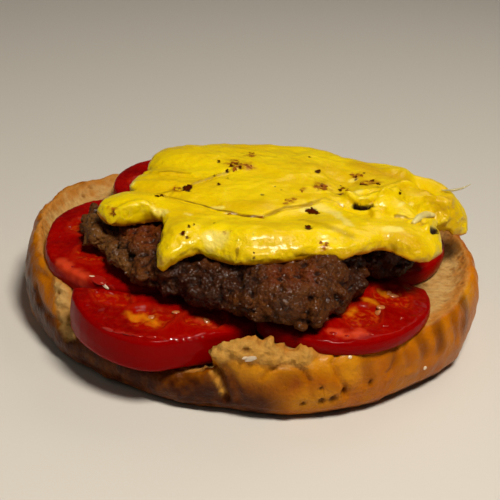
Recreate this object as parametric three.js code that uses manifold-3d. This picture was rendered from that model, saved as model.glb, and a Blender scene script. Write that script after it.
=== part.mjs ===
// An open cheeseburger: one half of a round bun with its cut face up, five tomato slices,
// a rough hand-formed beef patty and a thick folded sheet of melted cheese.
// Millimetres, +Z up, the origin at the middle of the flat underside of the bun.

import * as THREE from "three";
import { mergeVertices } from "three/addons/utils/BufferGeometryUtils.js";
import Module from "manifold-3d";

// Bun: radius of its widest line every 15 degrees, anticlockwise from +X
const BUN_RADII = [
  58.2, 58.2, 57.8, 57.2, 57.0, 56.8, 57.0, 57.8, 58.8, 60.2, 60.4, 59.6,
  58.2, 57.4, 56.6, 55.6, 55.0, 55.2, 56.0, 56.8, 57.0, 57.0, 57.4, 57.8,
];
const BUN_FACE = 16.0; // height of the cut face in the middle
// How far the crust rim stands above the cut face, every 30 degrees anticlockwise from +X
const BUN_RIM_RISES = [3.0, 3.0, 2.4, 2.0, 2.6, 3.4, 4.2, 1.6, 0, 0.2, 0.2, 0.8];
const BUN_HOLLOW = 6.6; // how far the thick tomato slice has pressed the face down
const BUN_HOLLOW_RAMP = [1.8, 5.2]; // where its side starts and ends, out from the slice
const BUN_RIM_SHARES = [0.885, 0.945]; // where the face starts to rise to the rim, and ends
const BUN_SECTORS = 72;
// Side of the bun from its flat foot up to the rim: share of the radius, share of the rim height
const BUN_SIDE = [
  [0.89, 0],
  [0.95, 0.06],
  [0.985, 0.2],
  [1.0, 0.44],
  [0.998, 0.66],
  [0.985, 0.85],
  [0.964, 0.97],
];
const BUN_FACE_SHARES = [0.94, 0.91, 0.88, 0.83, 0.76, 0.68, 0.58, 0.44, 0.22];
// Torn crumb at the front rim: where it stands, its height, its half lengths, and where it
// starts and ends out from the thick tomato slice
const TORN_CRUMB = { x: -2.5, y: -53, rise: 4.2, along: 9.0, across: 3.6, clear: [0.5, 3] };

// Patty: it lies on the tomato, on a plane that falls to the right and to the front
const PATTY_BASE = 22.2;
const PATTY_BASE_SLOPE = [-0.0186, 0.012];
const PATTY_TOP = 32.8;
const PATTY_FALL_LEFT = { from: -6, to: -40, fall: 4.4 };
const PATTY_FALL_RIGHT = { from: 31, to: 43, fall: 2.5 };
const PATTY_CENTRE = [0, -12];
const PATTY_OUTLINE = [
  [41, -7], [40.5, 2], [36, 9], [28, 15], [17, 19.5], [5, 20], [-8, 18.5], [-19, 14],
  [-27, 8.5], [-32, 4.5], [-37.5, 2], [-41, -1], [-42, -8], [-41.4, -16], [-39, -21.5],
  [-35, -23], [-33.8, -28], [-30.6, -33.6], [-26, -38.6], [-20, -41], [-12.5, -40.8],
  [-8.8, -44], [-2, -48.4], [7, -49.2], [13, -51.6], [17, -48.8], [21.6, -43.4],
  [25.4, -37], [27, -31], [27, -25], [32, -24.4], [37, -19.5], [40, -13],
];
const PATTY_SPOKES = 84;
// From the foot over the belly to the top: inset from the outline, share of the height
const PATTY_SIDE = [
  [2.0, 0.0],
  [0.6, 0.12],
  [0.0, 0.3],
  [0.2, 0.5],
  [1.2, 0.68],
  [3.2, 0.81],
  [6.5, 0.91],
  [10.5, 0.97],
];
const MEAT_LUMPS = [{ length: 15, depth: 0.7 }, { length: 7, depth: 0.5 }];
const MEAT_LUMPS_LEFT_ON_TOP = 0.2; // share of the relief that is left at the top
const PATTY_TOP_SHARES = [0.88, 0.6, 0.3];
const PATTY_FOOT_SHARES = [0.3, 0.6, 0.85];

// Tomato slices: middle of the disc, radius, thickness, height of the top, lean in degrees
// about X and Y, a point inside the slice, and the cuts that keep it off its neighbours:
// a cut is the direction it faces in degrees and its distance from that inside point
const TOMATOES = [
  {
    name: "tomato_left", middle: [-26.6, -8], radius: 24.8, thickness: 5.0, top: 22.25,
    lean: [0.7, 1.0], inside: [-27, -9], cuts: [[75, 19]],
  },
  {
    name: "tomato_front_left", middle: [-18, -31], radius: 24.4, thickness: 8.4, top: 19.2,
    lean: [3.0, 0.5], inside: [-19, -43], cuts: [[97, 9.4], [8, 21.5], [-66, 10.9]],
  },
  {
    name: "tomato_front_right", middle: [19, -26], radius: 23.8, thickness: 4.0, top: 21.1,
    lean: [0.7, 1.0], inside: [19, -32], cuts: [[90, 12.2], [186, 17.4]],
  },
  {
    name: "tomato_right_back", middle: [25.5, 4], radius: 24.0, thickness: 4.4, top: 21.3,
    lean: [0.7, 1.0], inside: [26, 4], cuts: [[-90, 22.6], [150, 19]],
  },
  {
    name: "tomato_back_left", middle: [-16, 26], radius: 23.6, thickness: 4.4, top: 22.1,
    lean: [0.7, 1.0], inside: [-16, 28], cuts: [[-105, 16.5], [-30, 21]],
  },
];
const TOMATO_SPOKES = 44;
// Section of a slice from the middle of its underside round the skin to the middle of its top:
// share of the reach where it isn't 0, else the inset from the skin, and the level in half thicknesses
const TOMATO_SECTION = [
  [0.55, 0, -1], [0, 1.2, -1], [0, 0.3, -0.8], [0, 0, 0], [0, 0.3, 0.8], [0, 1.2, 1], [0.55, 0, 1],
];
const CUT_CORNER_SHARPNESS = 18; // the higher, the sharper where a cut meets the skin
const LEAST_FACING = 0.05; // a ray that turns further from a cut than this misses it

// Cheese: its rim as x, y and the height of the middle of its thickness
const CHEESE_CENTRE = [5, -4];
const CHEESE_RIM = [
  [48.2, -3.6, 27.3], [51.2, -3.0, 26.3], [53.8, -0.3, 25.5], [54.8, 3.4, 26], [52.8, 7.6, 28.2],
  [49.8, 11, 30.6], [46.4, 12.6, 32.2], [42.8, 12.4, 33], [40.8, 15, 33.4], [38, 17.8, 33.6],
  [30.6, 18, 34], [22.8, 22, 34.2], [16.2, 26, 34.2], [8, 26.4, 34.4], [-2.8, 25.6, 34.4],
  [-12.1, 24, 34], [-21.5, 22.2, 33.4], [-27, 18.3, 32.8], [-29.2, 12, 32.2],
  [-28.2, 5.4, 32], [-30.4, 3.2, 31.8], [-32.2, -3.5, 31.8], [-30.2, -8.6, 32],
  [-34.2, -10.6, 32], [-37, -14.4, 31.8], [-38, -18.8, 31.4], [-36.4, -22, 31.2],
  [-33, -23.6, 31.4], [-29, -22.6, 32.2], [-25.6, -21.6, 33], [-22.4, -22.6, 33.6],
  [-21.2, -26, 33.6], [-21.4, -33, 33], [-21.6, -39.6, 30.6], [-19.8, -42, 30.2],
  [-15.5, -40.4, 32.4], [-10.7, -38.6, 33.8], [-6.8, -40.6, 34], [-2.8, -42.6, 34.3],
  [4, -42, 34.8], [10.5, -39.6, 35.1], [15.5, -37.8, 34.9], [21.8, -37, 34.7],
  [25.8, -34.8, 34.4], [28.6, -31.8, 34.2], [31.5, -31.2, 33.8], [35, -32.6, 33],
  [38.6, -32, 32.2], [42.2, -28.6, 31.4], [44.4, -23.4, 31], [44.4, -17.6, 31],
  [42, -12.4, 31], [40, -9.4, 30], [43.8, -6, 28.6],
];
const CHEESE_SPOKES = 126;
const CHEESE_RIM_HALF = 2.3; // half thickness at the rounded rim
const CHEESE_RIM_ROUND = 2.6; // how far in the rounding reaches
const CHEESE_DROOP = 9.0; // how far in the top starts to fall to the rim
const CHEESE_DROOP_POWER = 1.3; // the higher, the later the top rises from the rim
const CHEESE_TUCK = 5.0; // how far in the underside meets the patty's top
const CHEESE_REST = 0.6; // underside above the patty's top
const CHEESE_FIELD = 36.2; // plain height of its top
// Swells of the top: x, y, rise, half length along, half length across, turn in degrees
const CHEESE_SWELLS = [
  [-4, -37, 2.6, 26, 5.5, -4],
  [22, -30, 2.2, 20, 5.5, 6],
  [-30, -17.5, 0.8, 10, 4.5, 8],
  [-6, 8, 1.4, 30, 12, 4],
  [-32, -6, -1.4, 11, 22, 0],
  [-24, 14, 0.9, 9, 6, 0],
  [26, -6, 1.5, 7, 3.6, 12],
  [38, -10, 1.5, 9, 5, -20],
  [44, 4, 0.8, 8, 6, -40],
  [12, 4, 0.8, 8, 5, 30],
];
// Creases between its folds: points of each line, depth and half width
const CHEESE_CREASES = [
  { line: [[-29, -9], [-20, -13], [-10, -19], [0, -25], [9, -21], [17, -15]], depth: 1.3, half: 2.8 },
  { line: [[-28, 4], [-22, 4], [-15, 3]], depth: 0.9, half: 2.4 },
  { line: [[22, -13], [25, -15], [29, -14]], depth: 2.4, half: 2.4 },
  { line: [[30, -20], [36, -19], [42, -14]], depth: 1.4, half: 2.6 },
  { line: [[16, 12], [20, 8], [22, 2]], depth: 1.0, half: 3.0 },
];
const CHEESE_TOP_INSETS = [0, 0.5, 1.4, 2.8, 5.0, 8.0];
const CHEESE_TOP_SHARES = [0.9, 0.79, 0.68, 0.57, 0.46, 0.35, 0.23, 0.1];
const CHEESE_UNDER_INSETS = [0.6, 2.0, 5.0];
const CHEESE_UNDER_SHARES = [0.8, 0.55, 0.25];
// Thin pale strand that sticks out of the cheese at the right
const STRAND = [[44, 4, 34.4], [48, 4.6, 34.2], [51, 6.2, 34.6], [54.6, 8.6, 35.8]];
const STRAND_RADIUS = 0.45;
const STRAND_TAPER = 0.7; // share of its radius lost at the tip
const STRAND_SIDES = 7;
const STRAND_STEPS = 10;

const radians = THREE.MathUtils.degToRad;
const smooth = (low, high, value) => THREE.MathUtils.smoothstep(value, low, high);

// Value of an evenly spaced closed list at an angle, rounded between its entries
function around(list, angle) {
  const place = (((angle / (2 * Math.PI)) % 1) + 1) % 1 * list.length;
  const first = Math.floor(place);
  const at = (offset) => list[(first + offset + list.length) % list.length];
  const t = place - first;
  const [a, b, c, d] = [at(-1), at(0), at(1), at(2)];
  return b + 0.5 * t * (c - a + t * (2 * a - 5 * b + 4 * c - d + t * (3 * (b - c) + d - a)));
}

// Closed skin over rings of equally many points, listed from the bottom pole to the top pole
function skinOver(bottomPole, rings, topPole) {
  const count = rings[0].length;
  const positions = [bottomPole, ...rings.flat(), topPole].flat();
  const top = rings.length * count + 1;
  const index = [];
  for (let i = 0; i < count; i++) {
    const next = (i + 1) % count;
    index.push(0, 1 + next, 1 + i);
    for (let ring = 0; ring + 1 < rings.length; ring++) {
      const low = 1 + ring * count;
      const high = low + count;
      index.push(low + i, low + next, high + next, low + i, high + next, high + i);
    }
    index.push(top, top - count + i, top - count + next);
  }
  const geometry = new THREE.BufferGeometry();
  geometry.setAttribute("position", new THREE.Float32BufferAttribute(positions, 3));
  geometry.setIndex(index);
  geometry.computeVertexNormals();
  return geometry;
}

// Evenly spaced points on a closed smooth line through x, y and z values
function closedLine(points, count) {
  const knots = points.map(([x, y, z = 0]) => new THREE.Vector3(x, y, z));
  const curve = new THREE.CatmullRomCurve3(knots, true, "centripetal");
  return curve.getSpacedPoints(count).slice(0, count).map((p) => [p.x, p.y, p.z]);
}

// Spokes from a centre to the points of a rim: direction, length and rim height
function spokesTo(rim, [cx, cy]) {
  return rim.map(([x, y, z]) => {
    const length = Math.hypot(x - cx, y - cy);
    return { ux: (x - cx) / length, uy: (y - cy) / length, length, rimHeight: z };
  });
}

// Distance from a point to a line of several points
function distanceTo(line, x, y) {
  let nearest = Infinity;
  for (let i = 0; i + 1 < line.length; i++) {
    const [ax, ay] = line[i];
    const [dx, dy] = [line[i + 1][0] - ax, line[i + 1][1] - ay];
    const along = ((x - ax) * dx + (y - ay) * dy) / (dx * dx + dy * dy);
    const t = THREE.MathUtils.clamp(along, 0, 1);
    nearest = Math.min(nearest, Math.hypot(x - ax - t * dx, y - ay - t * dy));
  }
  return nearest;
}

// Height of a rounded swell at a point
function swellAt([sx, sy, rise, along, across, turn], x, y) {
  const angle = radians(turn);
  const u = (x - sx) * Math.cos(angle) + (y - sy) * Math.sin(angle);
  const v = (y - sy) * Math.cos(angle) - (x - sx) * Math.sin(angle);
  return rise * Math.exp(-((u / along) ** 2) - (v / across) ** 2);
}

// How far a point lies outside a tomato slice's own outline, negative inside it
function outsideSlice(slice, x, y) {
  let outside = Math.hypot(x - slice.middle[0], y - slice.middle[1]) - slice.radius;
  for (const [facing, distance] of slice.cuts) {
    const [dx, dy] = [x - slice.inside[0], y - slice.inside[1]];
    const along = dx * Math.cos(radians(facing)) + dy * Math.sin(radians(facing));
    outside = Math.max(outside, along - distance);
  }
  return outside;
}

// Length of the ray from a slice's inside point to its outline
function reachOf(slice, angle) {
  const [ox, oy] = [slice.inside[0] - slice.middle[0], slice.inside[1] - slice.middle[1]];
  const along = ox * Math.cos(angle) + oy * Math.sin(angle);
  const round = slice.radius ** 2 - ox * ox - oy * oy;
  const lengths = [-along + Math.sqrt(along * along + round)];
  for (const [facing, distance] of slice.cuts) {
    const towards = Math.cos(angle - radians(facing));
    if (towards > LEAST_FACING) lengths.push(distance / towards);
  }
  // A soft least value rounds the corners
  const power = -CUT_CORNER_SHARPNESS;
  return lengths.reduce((sum, length) => sum + length ** power, 0) ** (1 / power);
}

const pressed = TOMATOES.find((slice) => slice.name === "tomato_front_left");

// Height of the bun's cut face, or of its rim, at a point
function bunTop(x, y) {
  const share = Math.hypot(x, y) / around(BUN_RADII, Math.atan2(y, x));
  const rim = around(BUN_RIM_RISES, Math.atan2(y, x)) * smooth(...BUN_RIM_SHARES, share);
  const outside = outsideSlice(pressed, x, y);
  const hollow = BUN_HOLLOW * (1 - smooth(...BUN_HOLLOW_RAMP, outside));
  const u = (x - TORN_CRUMB.x) / TORN_CRUMB.along;
  const v = (y - TORN_CRUMB.y) / TORN_CRUMB.across;
  const torn = TORN_CRUMB.rise * Math.exp(-(u ** 4) - v * v) * smooth(...TORN_CRUMB.clear, outside);
  return BUN_FACE + rim - hollow + torn;
}

function bunGeometry() {
  const angles = Array.from({ length: BUN_SECTORS }, (_, i) => (2 * Math.PI * i) / BUN_SECTORS);
  const place = (angle, share, height) => {
    const radius = share * around(BUN_RADII, angle);
    const [x, y] = [radius * Math.cos(angle), radius * Math.sin(angle)];
    return [x, y, height(x, y)];
  };
  const side = BUN_SIDE.map(([share, up]) =>
    angles.map((angle) => {
      const rim = place(angle, BUN_SIDE.at(-1)[0], bunTop);
      return place(angle, share, () => up * rim[2]);
    }),
  );
  const face = BUN_FACE_SHARES.map((share) => angles.map((angle) => place(angle, share, bunTop)));
  return skinOver([0, 0, 0], [...side, ...face], [0, 0, bunTop(0, 0)]);
}

// A slice is made flat about its inside point, then leant and lifted by its mesh
function tomatoGeometry(slice) {
  const angles = Array.from({ length: TOMATO_SPOKES }, (_, i) => (2 * Math.PI * i) / TOMATO_SPOKES);
  const half = slice.thickness / 2;
  const rings = TOMATO_SECTION.map(([share, inset, level]) =>
    angles.map((angle) => {
      const reach = reachOf(slice, angle);
      const radius = share ? share * reach : reach - inset;
      return [radius * Math.cos(angle), radius * Math.sin(angle), level * half];
    }),
  );
  return skinOver([0, 0, -half], rings, [0, 0, half]);
}

const pattyBase = (x, y) => PATTY_BASE + PATTY_BASE_SLOPE[0] * x + PATTY_BASE_SLOPE[1] * y;

// Height of the patty's top, which falls towards its two ends
function pattyTop(x) {
  const left = PATTY_FALL_LEFT.fall * smooth(-PATTY_FALL_LEFT.from, -PATTY_FALL_LEFT.to, -x);
  const right = PATTY_FALL_RIGHT.fall * smooth(PATTY_FALL_RIGHT.from, PATTY_FALL_RIGHT.to, x);
  return PATTY_TOP - left - right;
}

// Rough relief of the minced meat: lumps of two sizes
function meatRelief(x, y, z) {
  let relief = 0;
  for (const { length, depth } of MEAT_LUMPS) {
    const turn = (2 * Math.PI) / length;
    relief += depth * Math.sin(turn * (x + 0.5 * z)) * Math.sin(turn * (0.9 * y + 0.8 * z));
  }
  return relief;
}

function pattyGeometry() {
  const spokes = spokesTo(closedLine(PATTY_OUTLINE, PATTY_SPOKES), PATTY_CENTRE);
  const onSpoke = ({ ux, uy }, radius) => [PATTY_CENTRE[0] + radius * ux, PATTY_CENTRE[1] + radius * uy];
  const foot = PATTY_FOOT_SHARES.map((share) =>
    spokes.map((spoke) => {
      const [x, y] = onSpoke(spoke, share * (spoke.length - PATTY_SIDE[0][0]));
      return [x, y, pattyBase(x, y)];
    }),
  );
  const side = PATTY_SIDE.map(([inset, up], level) =>
    spokes.map((spoke) => {
      const [x0, y0] = onSpoke(spoke, spoke.length - inset);
      const z = THREE.MathUtils.lerp(pattyBase(x0, y0), pattyTop(x0), up);
      const relief = meatRelief(x0, y0, z) * THREE.MathUtils.lerp(1, MEAT_LUMPS_LEFT_ON_TOP, up);
      const rough = level === 0 ? 0 : relief;
      const [x, y] = onSpoke(spoke, spoke.length - inset + rough);
      return [x, y, z];
    }),
  );
  const top = PATTY_TOP_SHARES.map((share) =>
    spokes.map((spoke) => {
      const [x, y] = onSpoke(spoke, share * (spoke.length - PATTY_SIDE.at(-1)[0]));
      return [x, y, pattyTop(x)];
    }),
  );
  const [x, y] = PATTY_CENTRE;
  return skinOver([x, y, pattyBase(x, y)], [...foot, ...side, ...top], [x, y, pattyTop(x)]);
}

// Height of the folded top of the cheese, away from its rim
function cheeseField(x, y) {
  let height = CHEESE_FIELD;
  for (const swell of CHEESE_SWELLS) height += swellAt(swell, x, y);
  for (const { line, depth, half } of CHEESE_CREASES) {
    height -= depth * Math.exp(-((distanceTo(line, x, y) / half) ** 2));
  }
  return height;
}

// Half thickness of the rounded rim at a distance in from it
function rimHalf(inset) {
  const left = 1 - Math.min(1, inset / CHEESE_RIM_ROUND);
  return CHEESE_RIM_HALF * Math.sqrt(1 - left * left);
}

function cheeseTop(x, y, inset, rimHeight) {
  const edge = rimHeight + rimHalf(inset);
  const share = Math.sin(0.5 * Math.PI * Math.min(1, inset / CHEESE_DROOP));
  return THREE.MathUtils.lerp(edge, cheeseField(x, y), share ** CHEESE_DROOP_POWER);
}

function cheeseUnder(x, inset, rimHeight) {
  const edge = rimHeight - rimHalf(inset);
  return THREE.MathUtils.lerp(edge, pattyTop(x) + CHEESE_REST, smooth(0, CHEESE_TUCK, inset));
}

function cheeseGeometry() {
  const spokes = spokesTo(closedLine(CHEESE_RIM, CHEESE_SPOKES), CHEESE_CENTRE);
  const [cx, cy] = CHEESE_CENTRE;
  const ringAt = (radiusOf, heightOf) =>
    spokes.map((spoke) => {
      const radius = radiusOf(spoke);
      const [x, y] = [cx + radius * spoke.ux, cy + radius * spoke.uy];
      return [x, y, heightOf(x, y, spoke.length - radius, spoke.rimHeight)];
    });
  // Inner rings grow round, so that the rim's bays don't reach the middle
  const meanLength = spokes.reduce((sum, spoke) => sum + spoke.length, 0) / spokes.length;
  const inner = (share, inset) => (spoke) =>
    share * THREE.MathUtils.lerp(meanLength - inset, spoke.length - inset, share * share);
  const under = (x, y, inset, rimHeight) => cheeseUnder(x, inset, rimHeight);
  const lastTop = CHEESE_TOP_INSETS.at(-1);
  const lastUnder = CHEESE_UNDER_INSETS.at(-1);
  const rings = [
    ...[...CHEESE_UNDER_SHARES].reverse().map((share) => ringAt(inner(share, lastUnder), under)),
    ...[...CHEESE_UNDER_INSETS].reverse().map((inset) => ringAt((s) => s.length - inset, under)),
    ...CHEESE_TOP_INSETS.map((inset) => ringAt((s) => s.length - inset, cheeseTop)),
    ...CHEESE_TOP_SHARES.map((share) => ringAt(inner(share, lastTop), cheeseTop)),
  ];
  const underPole = [cx, cy, pattyTop(cx) + CHEESE_REST];
  return skinOver(underPole, rings, [cx, cy, cheeseField(cx, cy)]);
}

// Round tapering strand along a curve, closed at both ends
function strandGeometry() {
  const curve = new THREE.CatmullRomCurve3(STRAND.map((point) => new THREE.Vector3(...point)));
  const frames = curve.computeFrenetFrames(STRAND_STEPS, false);
  const rings = [];
  for (let step = 0; step <= STRAND_STEPS; step++) {
    const t = step / STRAND_STEPS;
    const middle = curve.getPointAt(t);
    const radius = STRAND_RADIUS * (1 - STRAND_TAPER * t * t);
    const ring = [];
    for (let side = 0; side < STRAND_SIDES; side++) {
      const angle = (2 * Math.PI * side) / STRAND_SIDES;
      const point = middle.clone();
      point.addScaledVector(frames.normals[step], radius * Math.cos(angle));
      point.addScaledVector(frames.binormals[step], radius * Math.sin(angle));
      ring.push(point.toArray());
    }
    rings.push(ring);
  }
  return skinOver(STRAND[0], rings, curve.getPointAt(1).toArray());
}

const wasm = await Module();
wasm.setup();

// A closed geometry as a solid that can be joined
function solidFrom(geometry) {
  const bare = new THREE.BufferGeometry();
  bare.setAttribute("position", geometry.getAttribute("position"));
  bare.setIndex(geometry.getIndex());
  const merged = mergeVertices(bare, 1e-4);
  return new wasm.Manifold(
    new wasm.Mesh({
      numProp: 3,
      vertProperties: merged.attributes.position.array,
      triVerts: new Uint32Array(merged.index.array),
    }),
  );
}

// The solid's vertices and triangles as a geometry
function geometryFrom(solid) {
  const { vertProperties, triVerts } = solid.getMesh();
  const geometry = new THREE.BufferGeometry();
  geometry.setAttribute("position", new THREE.BufferAttribute(vertProperties, 3));
  geometry.setIndex(new THREE.BufferAttribute(triVerts, 1));
  geometry.computeVertexNormals();
  return geometry;
}

const material = (color, roughness) => new THREE.MeshStandardMaterial({ color, roughness, metalness: 0 });

function namedMesh(name, geometry, finish) {
  const mesh = new THREE.Mesh(geometry, finish);
  mesh.name = name;
  return mesh;
}

const burger = new THREE.Group();
burger.add(namedMesh("bun", bunGeometry(), material("#b87a2c", 0.5)));

for (const slice of TOMATOES) {
  const mesh = namedMesh(slice.name, tomatoGeometry(slice), material("#b0100c", 0.25));
  mesh.position.set(...slice.inside, slice.top - slice.thickness / 2);
  mesh.rotation.set(radians(slice.lean[0]), radians(slice.lean[1]), 0);
  burger.add(mesh);
}

burger.add(namedMesh("beef_patty", pattyGeometry(), material("#4a2a18", 0.55)));

const cheese = solidFrom(cheeseGeometry()).add(solidFrom(strandGeometry()));
burger.add(namedMesh("melted_cheese", geometryFrom(cheese), material("#e2b800", 0.35)));

export default burger;
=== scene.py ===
# %% [markdown]
# # An open cheeseburger
# The burger lies open. The lower half of a soft round bun has its cut face up, and on it
# lie five wet tomato slices, a rough hand-pressed beef patty and a thick folded sheet of
# melted cheese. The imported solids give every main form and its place. This script copies
# each solid, presses the small relief of the real food into it, and gives it its finish.

import math

import bmesh
import bpy
import numpy as np
from mathutils import Matrix, Vector
from mathutils.bvhtree import BVHTree


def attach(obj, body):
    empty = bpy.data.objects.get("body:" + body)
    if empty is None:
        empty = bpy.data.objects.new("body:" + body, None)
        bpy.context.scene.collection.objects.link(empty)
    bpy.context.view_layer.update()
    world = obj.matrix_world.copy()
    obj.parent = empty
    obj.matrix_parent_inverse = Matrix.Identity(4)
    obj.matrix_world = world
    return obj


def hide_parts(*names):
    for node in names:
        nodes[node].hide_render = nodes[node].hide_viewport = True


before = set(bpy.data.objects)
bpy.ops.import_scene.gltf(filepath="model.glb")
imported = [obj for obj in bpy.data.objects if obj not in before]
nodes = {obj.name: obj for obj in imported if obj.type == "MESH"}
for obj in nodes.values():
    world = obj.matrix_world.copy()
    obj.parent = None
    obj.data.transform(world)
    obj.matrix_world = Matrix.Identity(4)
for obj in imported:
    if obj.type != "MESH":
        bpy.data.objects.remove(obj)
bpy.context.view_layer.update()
scene = bpy.context.scene
print("solids:", ", ".join(sorted(nodes)))

# %% [markdown]
# ## The camera
# The photograph looks down on the burger from the front and is turned a little, so the
# far edge of the bun drops to the right. A long lens keeps the near and far edges alike.
# The camera is worked out in millimetres, because its line of sight also places the
# small marks of the photograph on the food: a pixel of the 500 by 500 picture becomes
# a point on the piece that the line of sight meets first.

# %% Set up the camera
MM = 0.001
PICTURE_PIXELS = 500
SENSOR_MM = 36.0
EYE_DOWN = math.radians(25.0)
EYE_TURN = math.radians(4.2)
EYE_AWAY = 300.0
PIXELS_PER_MM = 4.0
AIM = np.array([-0.8, -8.4, 20.0])

back = np.array([0.0, -math.cos(EYE_DOWN), math.sin(EYE_DOWN)])
level = np.array([1.0, 0.0, 0.0])
upright = np.cross(back, level)
right = math.cos(EYE_TURN) * level + math.sin(EYE_TURN) * upright
above = math.cos(EYE_TURN) * upright - math.sin(EYE_TURN) * level
eye = AIM + back * EYE_AWAY
focal_pixels = PIXELS_PER_MM * EYE_AWAY

camera_data = bpy.data.cameras.new("camera")
camera_data.sensor_width = SENSOR_MM
camera_data.lens = focal_pixels / PICTURE_PIXELS * SENSOR_MM
camera_data.clip_start = 0.01
camera = bpy.data.objects.new("camera", camera_data)
turn = Matrix([list(right), list(above), list(back)]).transposed().to_4x4()
camera.matrix_world = Matrix.Translation(eye * MM) @ turn
scene.collection.objects.link(camera)
scene.camera = camera
print(f"lens {camera_data.lens:.1f} mm, {EYE_AWAY:.0f} mm away")

# %% [markdown]
# ## Floor and light
# The food stands on a plain pale floor under soft studio light. One large lamp hangs high
# in front and a little to the right, where the wet edges of the photograph shine. A weak
# lamp from the left and a dim sky keep the shadow sides readable.

# %% Functions for colours, nodes and finishes


def linear(code):
    """The linear colour that a shader takes, from an sRGB code such as #C08020."""
    shares = [int(code[place:place + 2], 16) / 255 for place in (1, 3, 5)]
    return [s / 12.92 if s <= 0.04045 else ((s + 0.055) / 1.055) ** 2.4 for s in shares] + [1.0]


def add_node(tree, kind, settings=None, inputs=None, out=0):
    """Adds one node with its settings and its inputs, each a value or a socket to link from,
    and gives one of its outputs."""
    node = tree.nodes.new(kind)
    for name, value in (settings or {}).items():
        setattr(node, name, value)
    for name, value in (inputs or {}).items():
        if isinstance(value, bpy.types.NodeSocket):
            tree.links.new(value, node.inputs[name])
        else:
            node.inputs[name].default_value = value
    return node.outputs[out] if node.outputs else node


def calc(tree, operation, *values):
    """One step of arithmetic on numbers or sockets."""
    return add_node(tree, "ShaderNodeMath", {"operation": operation}, dict(enumerate(values)))


def new_finish(name):
    """An empty material and its node tree."""
    finish = bpy.data.materials.new(name)
    finish.use_nodes = True
    finish.node_tree.nodes.clear()
    return finish, finish.node_tree


def surface(tree, inputs):
    """Ends a material's tree in one surface with the given inputs."""
    coat = add_node(tree, "ShaderNodeBsdfPrincipled", {}, inputs)
    add_node(tree, "ShaderNodeOutputMaterial", {}, {"Surface": coat})


# %% Lay the floor and hang the lamps
FLOOR_SIZE = 6.0
LAMP_AWAY = 0.55
LAMPS = {
    "key": {"turn": 26, "up": 62, "across": 0.16, "watts": 3.2, "colour": "#FFF6E8"},
    "fill": {"turn": -50, "up": 40, "across": 0.45, "watts": 0.14, "colour": "#FFF1DC"},
    "rim": {"turn": 150, "up": 48, "across": 0.30, "watts": 0.4, "colour": "#FFF6E8"},
}
SKY_COLOUR = "#E8E4DE"
SKY_STRENGTH = 0.045

finish, tree = new_finish("pale_matt_floor")
surface(tree, {"Base Color": linear("#D2CEC7"), "Roughness": 0.9})
corners = [(x * FLOOR_SIZE / 2, y * FLOOR_SIZE / 2, 0.0) for x, y in ((-1, -1), (1, -1), (1, 1), (-1, 1))]
floor_mesh = bpy.data.meshes.new("floor")
floor_mesh.from_pydata(corners, [], [(0, 1, 2, 3)])
floor_mesh.materials.append(finish)
floor = bpy.data.objects.new("floor", floor_mesh)
scene.collection.objects.link(floor)

for name, lamp in LAMPS.items():
    turned = math.radians(lamp["turn"])
    raised = math.radians(lamp["up"])
    level_part = math.cos(raised)
    heading = Vector((math.sin(turned) * level_part, -math.cos(turned) * level_part, math.sin(raised)))
    light_data = bpy.data.lights.new(name, "AREA")
    light_data.shape = "DISK"
    light_data.size = lamp["across"]
    light_data.energy = lamp["watts"]
    light_data.color = linear(lamp["colour"])[:3]
    light = bpy.data.objects.new(name, light_data)
    light.location = Vector(AIM * MM) + heading * LAMP_AWAY
    light.rotation_euler = heading.to_track_quat("Z", "Y").to_euler()
    scene.collection.objects.link(light)

sky = bpy.data.worlds.new("sky")
sky.use_nodes = True
sky.node_tree.nodes["Background"].inputs["Color"].default_value = linear(SKY_COLOUR)
sky.node_tree.nodes["Background"].inputs["Strength"].default_value = SKY_STRENGTH
scene.world = sky
scene.view_settings.view_transform = "Standard"
print("lamps:", ", ".join(LAMPS))

# %% [markdown]
# ## Shaping food in millimetres
# Food has no straight edges, so each piece starts as an even skin of small faces laid
# over its solid, and its points are then pushed along their normals. The work is done in
# millimetres, which suit bread and cheese better than metres, and each finished piece is
# brought back to metres at the end. The relief is real geometry. Only what is finer than
# the faces, such as the bloom on the crust, is left to the bump of a material.

# %% Copy a solid and skin it evenly
WELD = 0.002


def copy_in_mm(node):
    """A node's solid as a new mesh in millimetres, with its loose triangles joined."""
    mesh = nodes[node].data.copy()
    mesh.transform(Matrix.Scale(1 / MM, 4))
    shape = bmesh.new()
    shape.from_mesh(mesh)
    bmesh.ops.remove_doubles(shape, verts=shape.verts, dist=WELD)
    shape.to_mesh(mesh)
    shape.free()
    return mesh


def evaluated(mesh, build):
    """The mesh after the modifiers that `build` puts on it, as a new plain mesh."""
    making = bpy.data.objects.new("making", mesh)
    scene.collection.objects.link(making)
    build(making)
    bpy.context.view_layer.update()
    graph = bpy.context.evaluated_depsgraph_get()
    result = bpy.data.meshes.new_from_object(making.evaluated_get(graph))
    bpy.data.objects.remove(making)
    return result


def skinned(mesh, face):
    """The mesh wrapped again in even faces, `face` mm across."""
    def build(making):
        wrap = making.modifiers.new("wrap", "REMESH")
        wrap.mode = "VOXEL"
        wrap.voxel_size = face
    return evaluated(mesh, build)


def read_points(mesh):
    """The points of a mesh, a row each."""
    points = np.empty(len(mesh.vertices) * 3)
    mesh.vertices.foreach_get("co", points)
    return points.reshape(-1, 3)


def write_points(mesh, points):
    """Moves the points of a mesh to new places."""
    mesh.vertices.foreach_set("co", points.ravel())
    mesh.update()


def read_normals(mesh):
    """The outward direction at every point of a mesh."""
    normals = np.empty(len(mesh.vertices) * 3, np.float32)
    mesh.vertex_normals.foreach_get("vector", normals)
    return normals.reshape(-1, 3).astype(float)


def read_edges(mesh):
    """The two points of every edge of a mesh, by number."""
    edges = np.empty(len(mesh.edges) * 2, np.int32)
    mesh.edges.foreach_get("vertices", edges)
    return edges.reshape(-1, 2)


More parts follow.
